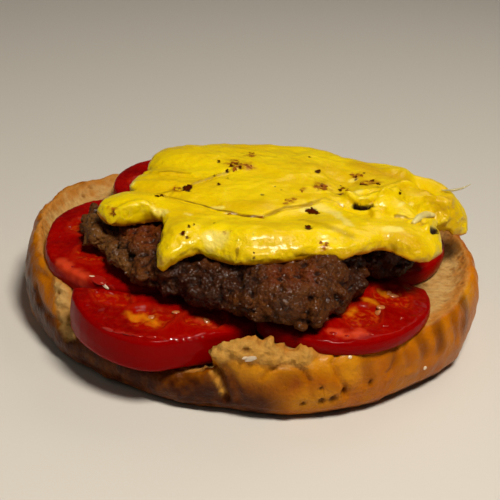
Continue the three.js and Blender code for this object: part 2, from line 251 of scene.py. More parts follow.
def smoothed(values, edges, rounds, share=0.5):
    """Moves every value by a share of the way to the mean of its neighbours, some rounds long."""
    table = values.reshape(len(values), -1).copy()
    neighbours = np.bincount(edges.ravel(), minlength=len(table))[:, None]
    for _ in range(rounds):
        total = np.empty_like(table)
        for column in range(table.shape[1]):
            one_way = np.bincount(edges[:, 0], table[edges[:, 1], column], len(table))
            total[:, column] = one_way + np.bincount(edges[:, 1], table[edges[:, 0], column], len(table))
        table += share * (total / neighbours - table)
    return table.reshape(values.shape)


def press(mesh, height):
    """Moves every point of the mesh along its normal by its height in mm."""
    write_points(mesh, read_points(mesh) + read_normals(mesh) * height[:, None])


def sunk_in(mesh, rounds):
    """How far in mm every point lies below its smoothed surroundings."""
    points = read_points(mesh)
    return np.sum((smoothed(points, read_edges(mesh), rounds) - points) * read_normals(mesh), axis=1)


def only_largest(mesh):
    """Drops the loose crumbs that wrapping a very thin end leaves behind."""
    edges = read_edges(mesh)
    label = np.arange(len(mesh.vertices))
    while True:
        lower = label.copy()
        np.minimum.at(lower, edges[:, 0], label[edges[:, 1]])
        np.minimum.at(lower, edges[:, 1], label[edges[:, 0]])
        lower = lower[lower]
        if np.array_equal(lower, label):
            break
        label = lower
    drop_points(mesh, label != np.bincount(label).argmax())


def drop_points(mesh, unwanted):
    """Deletes some points of a mesh and closes the holes that this leaves."""
    listed = set(np.flatnonzero(unwanted))
    shape = bmesh.new()
    shape.from_mesh(mesh)
    bmesh.ops.delete(shape, geom=[point for point in shape.verts if point.index in listed], context="VERTS")
    bmesh.ops.holes_fill(shape, edges=[edge for edge in shape.edges if edge.is_boundary], sides=0)
    shape.to_mesh(mesh)
    shape.free()


def store(mesh, **masks):
    """Keeps values from 0 to 1 at every point, under their names, for the finish to read."""
    for name, mask in masks.items():
        attribute = mesh.attributes.new(name, "FLOAT", "POINT")
        attribute.data.foreach_set("value", np.clip(mask, 0, 1).astype(np.float32))


# %% Bumps, grains and soft steps
NOISE_TABLE = 32
NOISE_GAIN = 1.7
OCTAVE_SHIFT = 5.3
GRAIN_SHIFT = 3.7
FAR_AWAY = 9.0
FOLD_STEPS_UP = (-0.25, 0.4)


def ease(value, low, high):
    """A soft step from 0 at `low` to 1 at `high`."""
    share = np.clip((value - low) / (high - low), 0, 1)
    return share * share * (3 - 2 * share)


def bumps(points, size, seed, octaves=1):
    """Smooth random bumps from about -1 to 1, `size` mm across. Each octave adds finer ones."""
    slopes = np.random.default_rng(seed).normal(size=(NOISE_TABLE, NOISE_TABLE, NOISE_TABLE, 3))
    slopes /= np.linalg.norm(slopes, axis=-1, keepdims=True)
    total = np.zeros(len(points))
    for octave in range(octaves):
        place = points * (2.0 ** octave / size) + OCTAVE_SHIFT * (octave + 1)
        cell = np.floor(place).astype(int)
        inside = place - cell
        fade = inside ** 3 * (inside * (inside * 6 - 15) + 10)
        for corner in np.ndindex(2, 2, 2):
            index = (cell + corner) % NOISE_TABLE
            slope = slopes[index[:, 0], index[:, 1], index[:, 2]]
            weight = np.prod(np.where(corner, fade, 1 - fade), axis=1)
            total += 0.5 ** octave * NOISE_GAIN * weight * np.sum(slope * (inside - corner), axis=1)
    return total


def waves(points, listed):
    """Several kinds of bumps on top of each other, each listed as (rise in mm, size, seed, octaves)."""
    return sum(rise * bumps(points, size, seed, octaves) for rise, size, seed, octaves in listed)


def grains(points, size, seed):
    """For grains about `size` mm across: how far each point is from its own grain's middle, and
    from the border to the next grain, both as a share of the size, and the grain's own tone."""
    table = np.random.default_rng(seed).random((NOISE_TABLE, NOISE_TABLE, NOISE_TABLE, 4))
    place = points / size + GRAIN_SHIFT
    cell = np.floor(place).astype(int)
    first = np.full(len(points), FAR_AWAY)
    second = np.full(len(points), FAR_AWAY)
    tone = np.zeros(len(points))
    for corner in np.ndindex(3, 3, 3):
        neighbour = cell + corner - 1
        index = neighbour % NOISE_TABLE
        drawn = table[index[:, 0], index[:, 1], index[:, 2]]
        distance = np.linalg.norm(place - neighbour - drawn[:, :3], axis=1)
        nearer = distance < first
        second = np.where(nearer, first, np.minimum(second, distance))
        tone = np.where(nearer, drawn[:, 3], tone)
        first = np.minimum(first, distance)
    return first, second - first, tone


# %% Find places of the photograph on a piece


def sight(mesh):
    """What the line of sight is tested against."""
    points = [Vector(point) for point in read_points(mesh)]
    return BVHTree.FromPolygons(points, [list(face.vertices) for face in mesh.polygons])


def line_of_sight(pixel):
    """The way from the eye through a pixel of the photograph, one mm deep."""
    aside = (pixel[0] - PICTURE_PIXELS / 2) / focal_pixels
    rise = (PICTURE_PIXELS / 2 - pixel[1]) / focal_pixels
    return right * aside + above * rise - back


def seen(target, pixels):
    """The points in mm, and the normals, where the lines of sight through some pixels meet a piece."""
    found = []
    for pixel in pixels:
        heading = Vector(line_of_sight(pixel)).normalized()
        point, normal, _, _ = target.ray_cast(Vector(eye), heading)
        if point is not None:
            found.append((np.array(point), np.array(normal)))
    return found


def pictured(points):
    """Where points in mm are seen in the picture, across and down."""
    off = points - eye
    depth = -(off @ back)
    return (PICTURE_PIXELS / 2 + focal_pixels * (off @ right) / depth,
            PICTURE_PIXELS / 2 - focal_pixels * (off @ above) / depth)


def line_on(target, pixels):
    """A line drawn on the photograph, as points in mm on the piece."""
    return np.array([point for point, _ in seen(target, pixels)])


def beside(points, line):
    """How far in mm every point is from a line of straight stretches, and how far to the right
    of the way it is drawn, seen from above."""
    nearest = np.full(len(points), np.inf)
    to_right = np.zeros(len(points))
    for start, end in zip(line[:-1], line[1:]):
        run = end - start
        share = np.clip((points - start) @ run / (run @ run), 0, 1)
        offset = points - start - share[:, None] * run
        distance = np.linalg.norm(offset, axis=1)
        aside = (offset[:, 0] * run[1] - offset[:, 1] * run[0]) / np.hypot(run[0], run[1])
        to_right = np.where(distance < nearest, aside, to_right)
        nearest = np.minimum(nearest, distance)
    return nearest, to_right


def away_from(points, target, pixels):
    """How far in mm every point is from a line, or a single place, drawn on the photograph."""
    line = line_on(target, pixels)
    if len(line) == 1:
        return np.linalg.norm(points - line[0], axis=1)
    return beside(points, line)[0]


def stroke(points, target, pixels, reach):
    """1 on a line drawn on the photograph, and 0 from `reach` mm away on."""
    return 1 - ease(away_from(points, target, pixels), 0.0, reach)


def strokes(points, target, listed, widened=1.0):
    """The sum of some strokes, each listed as (line, height or weight, reach in mm)."""
    return sum(weight * stroke(points, target, pixels, widened * reach) for pixels, weight, reach in listed)


def marks(points, target, listed, softness=1.0, uneven=0.0, in_shares=False):
    """The strongest of some marks of the photograph, each listed as (line, reach in mm). A mark
    fades over the outer `softness` of its reach. Its edge wanders by `uneven`, which is in mm, or
    in shares of the reach."""
    mask = np.zeros(len(points))
    for pixels, reach in listed:
        away = away_from(points, target, pixels) + uneven * (reach if in_shares else 1)
        mask = np.maximum(mask, 1 - ease(away, reach * (1 - softness), reach))
    return mask


def fold(points, target, pixels, rise, reach):
    """The height of an overlapping fold: it lies to the right of its line and stands `rise` mm over
    what lies to the left."""
    nearest, to_right = beside(points, line_on(target, pixels))
    return rise * ease(to_right, *FOLD_STEPS_UP) * (1 - ease(nearest, 0.3 * reach, reach))


# %% Bring a finished piece to metres


def finish_piece(name, mesh, finish, slot, *replaced):
    """Puts a mesh made in mm into the scene, in metres, on the burger's one body."""
    mesh.transform(Matrix.Scale(MM, 4))
    mesh.materials.clear()
    mesh.materials.append(finish)
    mesh.shade_smooth()
    piece = bpy.data.objects.new(name, mesh)
    scene.collection.objects.link(piece)
    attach(piece, "root")
    if replaced:
        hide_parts(*replaced)
    size = [round(edge / MM, 1) for edge in piece.dimensions]
    print(f"{name}: {sum(len(face.vertices) - 2 for face in mesh.polygons)} triangles, {size} mm")


# %% [markdown]
# ## Scattering with Geometry Nodes
# Mince pellets, tomato seeds, flecks, drops of juice and beads of grease and fat all repeat
# one small shape each. Two node trees do the work. One strews a shape at random over the
# part of a surface that a mask allows, and the other lays it at chosen places, each with
# its own direction, turn and size. Both end by making the copies real and giving the
# material.

# %% Build the two trees
POINTS_TRIED = 4.0


def new_tree(name, sockets):
    """A Geometry Nodes tree with the named inputs, and the outputs of its input node."""
    tree = bpy.data.node_groups.new(name, "GeometryNodeTree")
    tree.interface.new_socket("Geometry", in_out="INPUT", socket_type="NodeSocketGeometry")
    for label, kind in sockets.items():
        tree.interface.new_socket(label, in_out="INPUT", socket_type="NodeSocket" + kind)
    tree.interface.new_socket("Geometry", in_out="OUTPUT", socket_type="NodeSocketGeometry")
    return tree, tree.nodes.new("NodeGroupInput").outputs


def close_tree(tree, given, places, facing, size):
    """Puts the shape at the places, makes the copies real and gives them the material."""
    shape = add_node(tree, "GeometryNodeObjectInfo", {}, {"Object": given["Shape"], "As Instance": True},
                     out="Geometry")
    copies = add_node(tree, "GeometryNodeInstanceOnPoints", {},
                      {"Points": places, "Instance": shape, "Rotation": facing, "Scale": size})
    real = add_node(tree, "GeometryNodeRealizeInstances", {}, {"Geometry": copies})
    dressed = add_node(tree, "GeometryNodeSetMaterial", {}, {"Geometry": real, "Material": given["Material"]})
    add_node(tree, "NodeGroupOutput", {}, {"Geometry": dressed})
    return tree


def kept(tree, name, kind="FLOAT_VECTOR"):
    """A value that every point of the mesh keeps under a name."""
    return add_node(tree, "GeometryNodeInputNamedAttribute", {"data_type": kind}, {"Name": name})


def turned_by(tree, rotation, turn):
    """A rotation, turned further about its own axes."""
    return add_node(tree, "FunctionNodeRotateRotation", {"rotation_space": "LOCAL"},
                    {"Rotation": rotation, "Rotate By": turn})


def strewing_tree():
    """Strews a shape at random over what a mask allows, each copy sunk, tumbled and sized."""
    sockets = {"Shape": "Object", "Spacing": "Float", "Smallest": "Float", "Largest": "Float",
               "Sink": "Float", "Tumble": "Vector", "Mask": "String", "Seed": "Int", "Material": "Material"}
    tree, given = new_tree("strewn_over_a_surface", sockets)
    crowd = calc(tree, "MULTIPLY", calc(tree, "POWER", given["Spacing"], -2.0), POINTS_TRIED)
    strewn = add_node(tree, "GeometryNodeDistributePointsOnFaces", {"distribute_method": "POISSON"},
                      {"Mesh": given["Geometry"], "Distance Min": given["Spacing"], "Density Max": crowd,
                       "Density Factor": kept(tree, given["Mask"], "FLOAT"), "Seed": given["Seed"]}).node
    down = calc(tree, "MULTIPLY", given["Sink"], -1.0)
    shift = add_node(tree, "ShaderNodeVectorMath", {"operation": "SCALE"},
                     {"Vector": strewn.outputs["Normal"], "Scale": down})
    sunk = add_node(tree, "GeometryNodeSetPosition", {},
                    {"Geometry": strewn.outputs["Points"], "Offset": shift})
    tumble = add_node(tree, "FunctionNodeRandomValue", {"data_type": "FLOAT_VECTOR"},
                      {0: (0.0, 0.0, 0.0), 1: given["Tumble"], "Seed": given["Seed"]})
    size = add_node(tree, "FunctionNodeRandomValue", {"data_type": "FLOAT"},
                    {2: given["Smallest"], 3: given["Largest"], "Seed": given["Seed"]}, out=1)
    return close_tree(tree, given, sunk, turned_by(tree, strewn.outputs["Rotation"], tumble), size)


def laying_tree():
    """Lays a shape at every point, by the direction, turn and size that the point keeps."""
    tree, given = new_tree("laid_at_chosen_places", {"Shape": "Object", "Material": "Material"})
    stood = add_node(tree, "FunctionNodeAlignRotationToVector", {"axis": "Z"}, {"Vector": kept(tree, "up")})
    places = add_node(tree, "GeometryNodeMeshToPoints", {}, {"Mesh": given["Geometry"]})
    return close_tree(tree, given, places, turned_by(tree, stood, kept(tree, "yaw")), kept(tree, "size"))


STREW = strewing_tree()
LAY = laying_tree()


def grow(mesh, tree, **values):
    """The plain mesh that a tree makes from a mesh, with its inputs set before it first runs."""
    def build(making):
        nodes_on = making.modifiers.new("grow", "NODES")
        nodes_on.node_group = tree
        for item in tree.interface.items_tree:
            if item.in_out == "INPUT" and item.name in values:
                nodes_on[item.identifier] = values[item.name]
    return evaluated(mesh, build)


def lay_piece(name, spots, shape, finish, slot):
    """Lays a shape at spots of (point, up, turn, size), as one finished piece."""
    mesh = bpy.data.meshes.new("places")
    points, ups, turns, sizes = zip(*spots)
    mesh.from_pydata([tuple(point) for point in points], [], [])
    yaws = [(0.0, 0.0, turn) for turn in turns]
    for label, column in (("up", ups), ("size", sizes), ("yaw", yaws)):
        values = np.array(column, np.float32)
        mesh.attributes.new(label, "FLOAT_VECTOR", "POINT").data.foreach_set("vector", values.ravel())
    finish_piece(name, grow(mesh, LAY, Shape=shape, Material=finish), finish, slot)


# %% Model the small shapes that are repeated


def lump(name, stretch, uneven, seed, fineness=2, flat_below=None):
    """A small round shape in mm for the trees to repeat: a ball of radius 1, stretched and dented."""
    shape = bmesh.new()
    bmesh.ops.create_icosphere(shape, subdivisions=fineness, radius=1.0)
    mesh = bpy.data.meshes.new(name)
    shape.to_mesh(mesh)
    shape.free()
    points = read_points(mesh)
    points *= 1 + uneven * bumps(points, 0.9, seed)[:, None]
    points *= stretch
    if flat_below is not None:
        points[:, 2] = np.maximum(points[:, 2], flat_below)
    write_points(mesh, points)
    mesh.shade_smooth()
    made = bpy.data.objects.new(name, mesh)
    scene.collection.objects.link(made)
    return made


patterns = {
    "pellet": lump("pellet", (1.25, 0.85, 0.8), 0.35, 4),
    "bead": lump("bead", (1.0, 1.0, 0.45), 0.12, 5, flat_below=-0.2),
    "drop": lump("drop", (1.0, 1.0, 0.45), 0.2, 8, fineness=4, flat_below=-0.2),
    "fleck": lump("fleck", (1.0, 1.0, 0.35), 0.75, 6),
    "seed": lump("seed", (1.0, 0.66, 0.3), 0.1, 7),
}
print("shapes to repeat:", ", ".join(patterns))

# %% [markdown]
# ## The bun
# The real bun was cut through and opened, so its top is pale open crumb and its side is
# egg-washed crust. At the front the crust has torn and the crumb bulges over the edge.
# The crust could be painted on, but its folds, its torn crease and the ragged crumb
# catch the light in the photograph, so they are pressed into the skin. Masks for the
# crumb, the dark baking with painted shade, and the gold places are kept at every point
# for the finish.
# Each place is a short line in pixels of the photograph, with its depth or its weight
# and its reach in mm.

# %% Shape the bun
BUN_FACE_MM = 0.6
BUN_RADIUS = 57
DIRECTION_STEP = 5.0
CRUST_STARTS = 0.94
CRUST_RAGGED = 0.018
TOASTED_RING = 0.06
CRUST_WAVES = [(0.7, 15, 13, 1), (0.32, 5, 14, 2)]
FOLDS_WIDENED = 1.3
WRINKLE_DEPTH = 0.14
CUT_FACE_FLUFF = 0.12
PORE_MM = 2.4
PORE_DEPTH = 0.25
BAKED_FROM = 0.5
BAKED_UP_TO = 2.6
BAKED_WEIGHT = 0.9
TORN_CRUMB = [(222, 351), (232, 347), (244, 346), (262, 351), (285, 354), (303, 355)]
TORN_CRUMB_FADES = (1.8, 3.4)
CRUMB_STRIP = [(60, 284), (62, 300), (65, 318), (71, 334)]
CRUMB_STRIP_FADES = (1.5, 2.6)
TORN_CREASE = [(204, 358), (212, 366), (218, 374), (222, 387), (226, 402)]
TORN_FLAKE = [(205, 365), (211, 372), (216, 380), (220, 388), (223, 397)]
CRUST_FLAP = [(208, 357), (216, 356), (224, 356)]
CREASE_DEPTH = 1.8
FLAKE_RISE = 0.9
FLAP_RISE = 0.7
GOLDEN_REACH = 5.0
GOLDEN_PLACES = [
    [(226, 363), (245, 370), (266, 371)], [(270, 362), (300, 362), (330, 360)], [(465, 285), (468, 300)],
    [(60, 208), (80, 194)], [(345, 352), (350, 372)], [(300, 402), (325, 398)],
]
# Places of the crust painted darker. Those along the low left side, beside the torn crease and in the folds
# on the right are painted shade.
BROWN_PLACES = [
    ([(462, 300), (466, 312), (464, 325)], 0.7, 5.0), ([(70, 196), (95, 182)], 0.5, 4.0),
    ([(28, 236), (38, 220)], 0.5, 4.0), ([(300, 376), (285, 380)], 0.35, 4.0),
    ([(413, 322), (420, 336), (426, 353)], 0.55, 3.0), ([(432, 318), (438, 330), (441, 347)], 0.75, 3.2),
    ([(449, 310), (455, 330)], 0.4, 3.0), ([(222, 372), (229, 386), (233, 402)], 0.8, 3.5),
    ([(28, 250), (30, 275), (36, 300), (44, 322)], 0.8, 7.0), ([(364, 352), (372, 378)], 0.35, 3.0),
    ([(392, 345), (396, 362)], 0.4, 3.0),
]
# The low left side of the crust is painted darker as shade, fading out upwards.
SCORCHED_SIDE = [(30, 262), (34, 296), (60, 343), (100, 366), (150, 382), (200, 396), (250, 405)]
SCORCHED_REACH = 11.0
SCORCHED_WEIGHT = 1.2
SCORCHED_FADES_UP = (9, 13)
CRUST_FOLDS = [
    ([(392, 337), (398, 345), (399, 357), (395, 367), (390, 374)], 0.45, 1.0),
    ([(413, 322), (421, 338), (427, 353)], 0.5, 2.2),
    ([(430, 316), (436, 332), (440, 348)], 0.5, 1.8),
    ([(338, 352), (332, 363), (337, 375), (345, 387), (345, 397)], 0.9, 0.8),
    ([(302, 368), (309, 381), (312, 397)], 0.35, 1.1),
    ([(36, 287), (40, 303), (50, 315), (60, 322)], 0.6, 1.3),
    ([(34, 270), (42, 274), (50, 278)], 0.5, 1.2),
    ([(360, 348), (366, 372), (372, 388)], 0.25, 2.0),
    ([(262, 378), (268, 371), (280, 366), (292, 365), (303, 371), (309, 381)], 0.8, 0.8),
    ([(238, 402), (236, 388), (231, 376), (224, 366)], 0.6, 1.2),
    ([(400, 335), (408, 352), (410, 366)], 0.35, 1.4),
    ([(446, 306), (453, 322), (455, 338)], 0.4, 1.6),
]
HOLE_DEPTH = 1.2
BASE_HOLES = [([(322, 401)], 1.3), ([(333, 399)], 1.5), ([(344, 392)], 1.4), ([(303, 404)], 0.8),
              ([(372, 384)], 0.9), ([(321, 388)], 0.7)]


def round_the_middle(points):
    """The direction in degrees and the distance in mm of every point from an upright axis."""
    return np.degrees(np.arctan2(points[:, 1], points[:, 0])), np.hypot(points[:, 0], points[:, 1])


bun_solid = copy_in_mm("bun")
bun_sight = sight(bun_solid)
bun = skinned(bun_solid, BUN_FACE_MM)
points = read_points(bun)
normals = read_normals(bun)

solid_angles, solid_reach = round_the_middle(read_points(bun_solid))
directions = np.arange(-180, 180, DIRECTION_STEP)
off_each = [np.abs((solid_angles - direction + 180) % 360 - 180) for direction in directions]
reaches = [solid_reach[off < DIRECTION_STEP].max() for off in off_each]
angles, reached = round_the_middle(points)
share = reached / np.interp(angles, directions, reaches, period=360)
ragged = CRUST_RAGGED * bumps(points, 7.0, 11, 3)

facing_up = ease(normals[:, 2], 0.25, 0.6)
cut_face = facing_up * ease(CRUST_STARTS + ragged - share, -0.01, 0.01)
edge_noise = 0.9 * bumps(points, 2.2, 12, 3)
torn = 1 - ease(away_from(points, bun_sight, TORN_CRUMB) + edge_noise, *TORN_CRUMB_FADES)
strip = 1 - ease(away_from(points, bun_sight, CRUMB_STRIP) + edge_noise, *CRUMB_STRIP_FADES)
crumb = np.maximum.reduce([cut_face, torn, strip])
crust = 1 - crumb

height = crust * waves(points, CRUST_WAVES)
around = np.radians(angles) * BUN_RADIUS
wrinkle_place = np.column_stack([around, points[:, 2] / 4, np.zeros(len(points))])
streak = bumps(wrinkle_place, 3.4, 15, 3)
height += crust * ease(points[:, 2], 2, 7) * WRINKLE_DEPTH * streak
height -= strokes(points, bun_sight, CRUST_FOLDS, FOLDS_WIDENED)
flake_noise = bumps(points, 1.3, 16)
flake = stroke(points, bun_sight, TORN_FLAKE, 0.9)
height -= CREASE_DEPTH * stroke(points, bun_sight, TORN_CREASE, 1.7)
height += FLAKE_RISE * flake * (0.8 + 0.9 * flake_noise)
height += FLAP_RISE * stroke(points, bun_sight, CRUST_FLAP, 1.6)
fluff = bumps(points, 3.2, 17, 3)
curd = bumps(points, 1.7, 20, 2)
height += torn * (0.5 + 1.1 * fluff + 0.7 * curd)
height += strip * (0.5 * fluff + 0.3 * curd) + cut_face * CUT_FACE_FLUFF * fluff
near, _, tone = grains(points, PORE_MM, 18)
pore = crumb * ease(tone, 0.7, 0.75) * (1 - ease(near, 0.1, 0.45))
height -= (PORE_DEPTH + 0.4 * torn) * pore
hole = marks(points, bun_sight, BASE_HOLES)
height -= HOLE_DEPTH * hole
height *= ease(points[:, 2], 0.3, 1.5)

# The base is browner from baking. The base holes, the darkened places and the low left side add painted shade
# to the same mask.
uneven_height = points[:, 2] + 1.3 * bumps(points, 7, 19, 2)
baked = BAKED_WEIGHT * (1 - ease(uneven_height, BAKED_FROM, BAKED_UP_TO)) + hole
baked += strokes(points, bun_sight, BROWN_PLACES)
low_side = 1 - ease(points[:, 2], *SCORCHED_FADES_UP)
baked += SCORCHED_WEIGHT * stroke(points, bun_sight, SCORCHED_SIDE, SCORCHED_REACH) * low_side
golden = marks(points, bun_sight, [(line, GOLDEN_REACH) for line in GOLDEN_PLACES])
flaky = np.maximum(flake * (0.75 + 0.6 * flake_noise), 0.6 * stroke(points, bun_sight, CRUST_FLAP, 1.2))
uneven_share = share + 0.03 * bumps(points, 4.0, 22, 2)
toast = ease(uneven_share, CRUST_STARTS - TOASTED_RING, CRUST_STARTS - 0.01)
# The folds and the torn crease are painted darker, as shade in the creases.
all_folds = [(line, 1.0, reach) for line, _, reach in CRUST_FOLDS] + [(TORN_CREASE, 0.8, 1.2)]
press(bun, height)
store(bun, crumb=crumb, pore=pore, torn=torn + 0.2 * strip, toast=toast * cut_face, baked=baked,
      golden=golden, flaky=flaky, fold=strokes(points, bun_sight, all_folds), streak=0.5 + 0.5 * streak)
print(f"bun: {len(points)} points, crumb over {crumb.mean():.0%} of them")

# %% [markdown]
# ## Crust and crumb
# The crust is dough browned by the oven under an egg wash: golden where it is thin, deep
# brown at the base, with a low shine. Shade is painted into it as darker colour in the
# folds, on the low left side and in the base holes. The crumb is pale, matt and porous,
# and lets a little light through, and its pores are painted darker as shade. One finish
# holds both, mixed by the crumb mask, because a seam between two materials would be too
# clean for torn bread.

# %% Short forms for the nodes that every finish uses


def pattern(tree, kind, size, settings):
    """A pattern fixed to the piece, with spots about `size` mm apart."""
    place = add_node(tree, "ShaderNodeTexCoord", out="Object")
    return add_node(tree, kind, {}, {"Vector": place, "Scale": 1 / (size * MM), **settings})


def noise(tree, size, detail):
    """Cloudy noise from 0 to 1. A higher `detail` adds finer clouds."""
    return pattern(tree, "ShaderNodeTexNoise", size, {"Detail": detail})


def cells_of(tree, size):
    """How far each place is from the middle of its own cell."""
    return pattern(tree, "ShaderNodeTexVoronoi", size, {})


def kept_masks(tree, *names):
    """The masks that the points of the piece keep, by name."""
    return {name: add_node(tree, "ShaderNodeAttribute", {"attribute_name": name}, out="Fac")
            for name in names}


def mapped(tree, value, low=0.0, high=1.0, first=0.0, last=1.0):
    """A value whose range from `low` to `high` becomes `first` to `last`."""
    return add_node(tree, "ShaderNodeMapRange", {},
                    {"Value": value, "From Min": low, "From Max": high, "To Min": first, "To Max": last})


def mixed(tree, share, under, over):
    """One colour over another by a share from 0 to 1. A colour is an sRGB code or a socket."""
    under, over = (linear(colour) if isinstance(colour, str) else colour for colour in (under, over))
    return add_node(tree, "ShaderNodeMix", {"data_type": "RGBA"}, {0: share, 6: under, 7: over}, out=2)


def layered(tree, colour, *layers):
    """Lays colours over a first one, each as strongly as its mask times its weight."""
    for mask, weight, over in layers:
        colour = mixed(tree, calc(tree, "MULTIPLY", mask, weight), colour, over)
    return colour


def relief(tree, height, strength, rise):
    """The bump of a height from 0 to 1, `rise` mm high."""
    return add_node(tree, "ShaderNodeBump", {},
                    {"Height": height, "Strength": strength, "Distance": rise * MM})


# %% Finish the bun


def baked_bun():
    """Brown crust with a low shine and pale matt crumb, parted by the crumb mask."""
    finish, tree = new_finish("baked_bun_with_egg_wash")
    masks = kept_masks(tree, "crumb", "pore", "torn", "toast", "baked", "golden", "flaky", "fold", "streak")
    tint = mapped(tree, noise(tree, 15, 3.0), 0.35, 0.65)
    speck = mapped(tree, noise(tree, 2.2, 5.0), 0.4, 0.75)
    cells = cells_of(tree, 1.5)
    open_cell = mapped(tree, cells, 0.15, 0.6, 1.0, 0.0)
    # Painted shade: the baked mask darkens the low left side and the holes, and the fold mask the creases. In
    # the crumb, the pores and the middles of the cells are painted darker.
    crust = layered(tree, mixed(tree, tint, "#BA6600", "#9C4A00"),
                    (masks["streak"], 0.45, "#CC8606"), (masks["golden"], 1.0, "#C88410"),
                    (masks["baked"], 1.0, "#3C1400"), (masks["fold"], 0.45, "#8A4400"),
                    (masks["flaky"], 1.0, "#DCA040"), (speck, 0.35, "#9A5406"))
    soft = layered(tree, mixed(tree, speck, "#C09A5E", "#AC7E42"),
                   (masks["torn"], 0.55, "#BC8424"), (open_cell, 0.35, "#94662C"),
                   (masks["toast"], 0.75, "#B06A18"), (masks["pore"], 1.0, "#8A5A22"))
    pitted = calc(tree, "MULTIPLY", masks["crumb"], cells)
    rough = calc(tree, "ADD", noise(tree, 0.7, 4.0), pitted)
    surface(tree, {"Base Color": mixed(tree, masks["crumb"], crust, soft),
                   "Roughness": mapped(tree, masks["crumb"], first=0.34, last=0.8),
                   "Coat Weight": mapped(tree, masks["crumb"], first=0.12, last=0.0),
                   "Coat Roughness": 0.22, "Specular IOR Level": 0.06,
                   "Normal": relief(tree, rough, 0.7, 0.5), "Subsurface Weight": 0.12,
                   "Subsurface Scale": 2 * MM, "Subsurface Radius": (1.0, 0.5, 0.25)})
    return finish


bun_top_sight = sight(bun)
finish_piece("bun_baked", bun, baked_bun(), "bun_crust", "bun")

# %% [markdown]
# ## The tomato slices
# A slice of tomato shows a firm red wall under a thin shiny skin, and inside it pockets
# of soft gel with pale seeds, parted by paler ribs. Each slice keeps the solid's form.
# Its cut face gets the pockets sunk in, worked out round the middle of the slice, and
# the pockets of the two front slices are turned to where the photograph shows them.
# Soft slices droop at the front. A side that the photograph shows farther out or higher
# is pulled or raised there, by a direction in degrees and a length in mm.

# %% Shape the slices
SLICE_FACE_MM = 0.42
POCKETS = 7
POCKET_MIDDLE = 0.62
POCKET_LONG = 0.19
POCKET_WIDE = 0.23
POCKET_FULL = 0.78
POCKET_EDGE = 1.02
POCKET_RIM = 0.22
SLICE_SOFTENED = 3
FIRST_SEED = 40
SEED_STEP = 7
FIBRES_STAND = (1, 1, 0.2)
SLICES = {
    "tomato_left": {"middle": (-26.6, -8.0), "radius": 24.8, "first": 20, "depth": 0.25, "droop": 1.2,
                    "pulled": (-105, 2.4)},
    "tomato_front_left": {"middle": (-18.0, -31.0), "radius": 24.4, "first": -105, "depth": 1.1, "droop": 0.4,
                          "raised": (165, 2.2)},
    "tomato_front_right": {"middle": (19.0, -26.0), "radius": 23.8, "first": -65, "depth": 1.0, "droop": 1.4,
                           "pulled": (-120, 1.8)},
    "tomato_right_back": {"middle": (25.5, 4.0), "radius": 24.0, "first": 10, "depth": 0.8, "droop": 0.3},
    "tomato_back_left": {"middle": (-16.0, 26.0), "radius": 23.6, "first": 130, "depth": 0.8, "droop": 0.0},
}


def toward(aside, radius, angle):
    """1 at the rim in the direction of an angle in degrees, falling to 0 at the middle."""
    turned = np.radians(angle)
    return ease(aside @ (np.cos(turned), np.sin(turned)) / radius, 0.2, 1.0)


def shape_slice(node, middle, radius, first, depth, droop, seed, pulled=(0, 0.0), raised=(0, 0.0)):
    """A slice in mm with its pockets sunk in, and masks for its skin, pockets and core. `pulled`
    and `raised` are a direction in degrees and a length in mm."""
    mesh = skinned(copy_in_mm(node), SLICE_FACE_MM)
    write_points(mesh, smoothed(read_points(mesh), read_edges(mesh), SLICE_SOFTENED))
    points = read_points(mesh)
    normals = read_normals(mesh)
    angle, out = round_the_middle(points[:, :2] - middle)
    share = out / radius
    turned = (angle - first) % (360 / POCKETS)
    turned = np.radians(np.minimum(turned, 360 / POCKETS - turned)) * share
    ragged = 0.16 * bumps(points, 5.0, seed, 2)
    inside = np.hypot((share - POCKET_MIDDLE) / POCKET_LONG, turned / POCKET_WIDE) + ragged
    face = ease(np.abs(normals[:, 2]), 0.75, 0.92)
    pocket = face * (1 - ease(inside, POCKET_FULL, POCKET_EDGE))
    gel = bumps(points, 2.6, seed + 1, 2)
    height = pocket * (0.5 * gel - depth) + face * waves(points, [(0.16, 6.0, seed + 2, 2)])
    height += (1 - face) * waves(points, [(0.18, 11.0, seed + 3, 1)])
    height += face * waves(points * FIBRES_STAND, [(0.14, 1.3, seed + 4, 1)])
    press(mesh, height)
    points = read_points(mesh)
    points[:, 2] -= droop * ease(share, 0.55, 1.0) * ease(-points[:, 1], 3, 15)
    aside = points[:, :2] - middle
    outward = aside / np.linalg.norm(aside, axis=1)[:, None]
    upper = ease(points[:, 2], points[:, 2].min(), points[:, 2].max())
    points[:, :2] += pulled[1] * toward(aside, radius, pulled[0])[:, None] * outward
    points[:, 2] += raised[1] * toward(aside, radius, raised[0]) * upper
    write_points(mesh, points)
    rim = face * (1 - ease(np.abs(inside - POCKET_EDGE), 0.0, POCKET_RIM))
    store(mesh, pocket=pocket, rim_of_pocket=rim, skin=1 - ease(np.abs(normals[:, 2]), 0.55, 0.85),
          core=face * (1 - ease(share, 0.1, 0.3)))
    return mesh


slices = {node: shape_slice(node, seed=FIRST_SEED + SEED_STEP * number, **values)
          for number, (node, values) in enumerate(SLICES.items())}
print("slices:", {node: len(mesh.vertices) for node, mesh in slices.items()})

# %% [markdown]
# ## Wet tomato
# Ripe tomato flesh is deep red and full of water, so light goes in and comes out redder,
# and every cut face shines. The skin is smooth and a deep plain red. The gel in the
# pockets is orange, and the rims of the pockets and the core are paler. The photograph
# also shows a few places of gold gel, which get a mask of their own. Pink places get
# another: a painted glare on the wet rims of the left and front-right slices, and pale
# flesh on the front-left slice. One finish mixes them all, with light scattered under the
# surface for the soft, lit-through look.

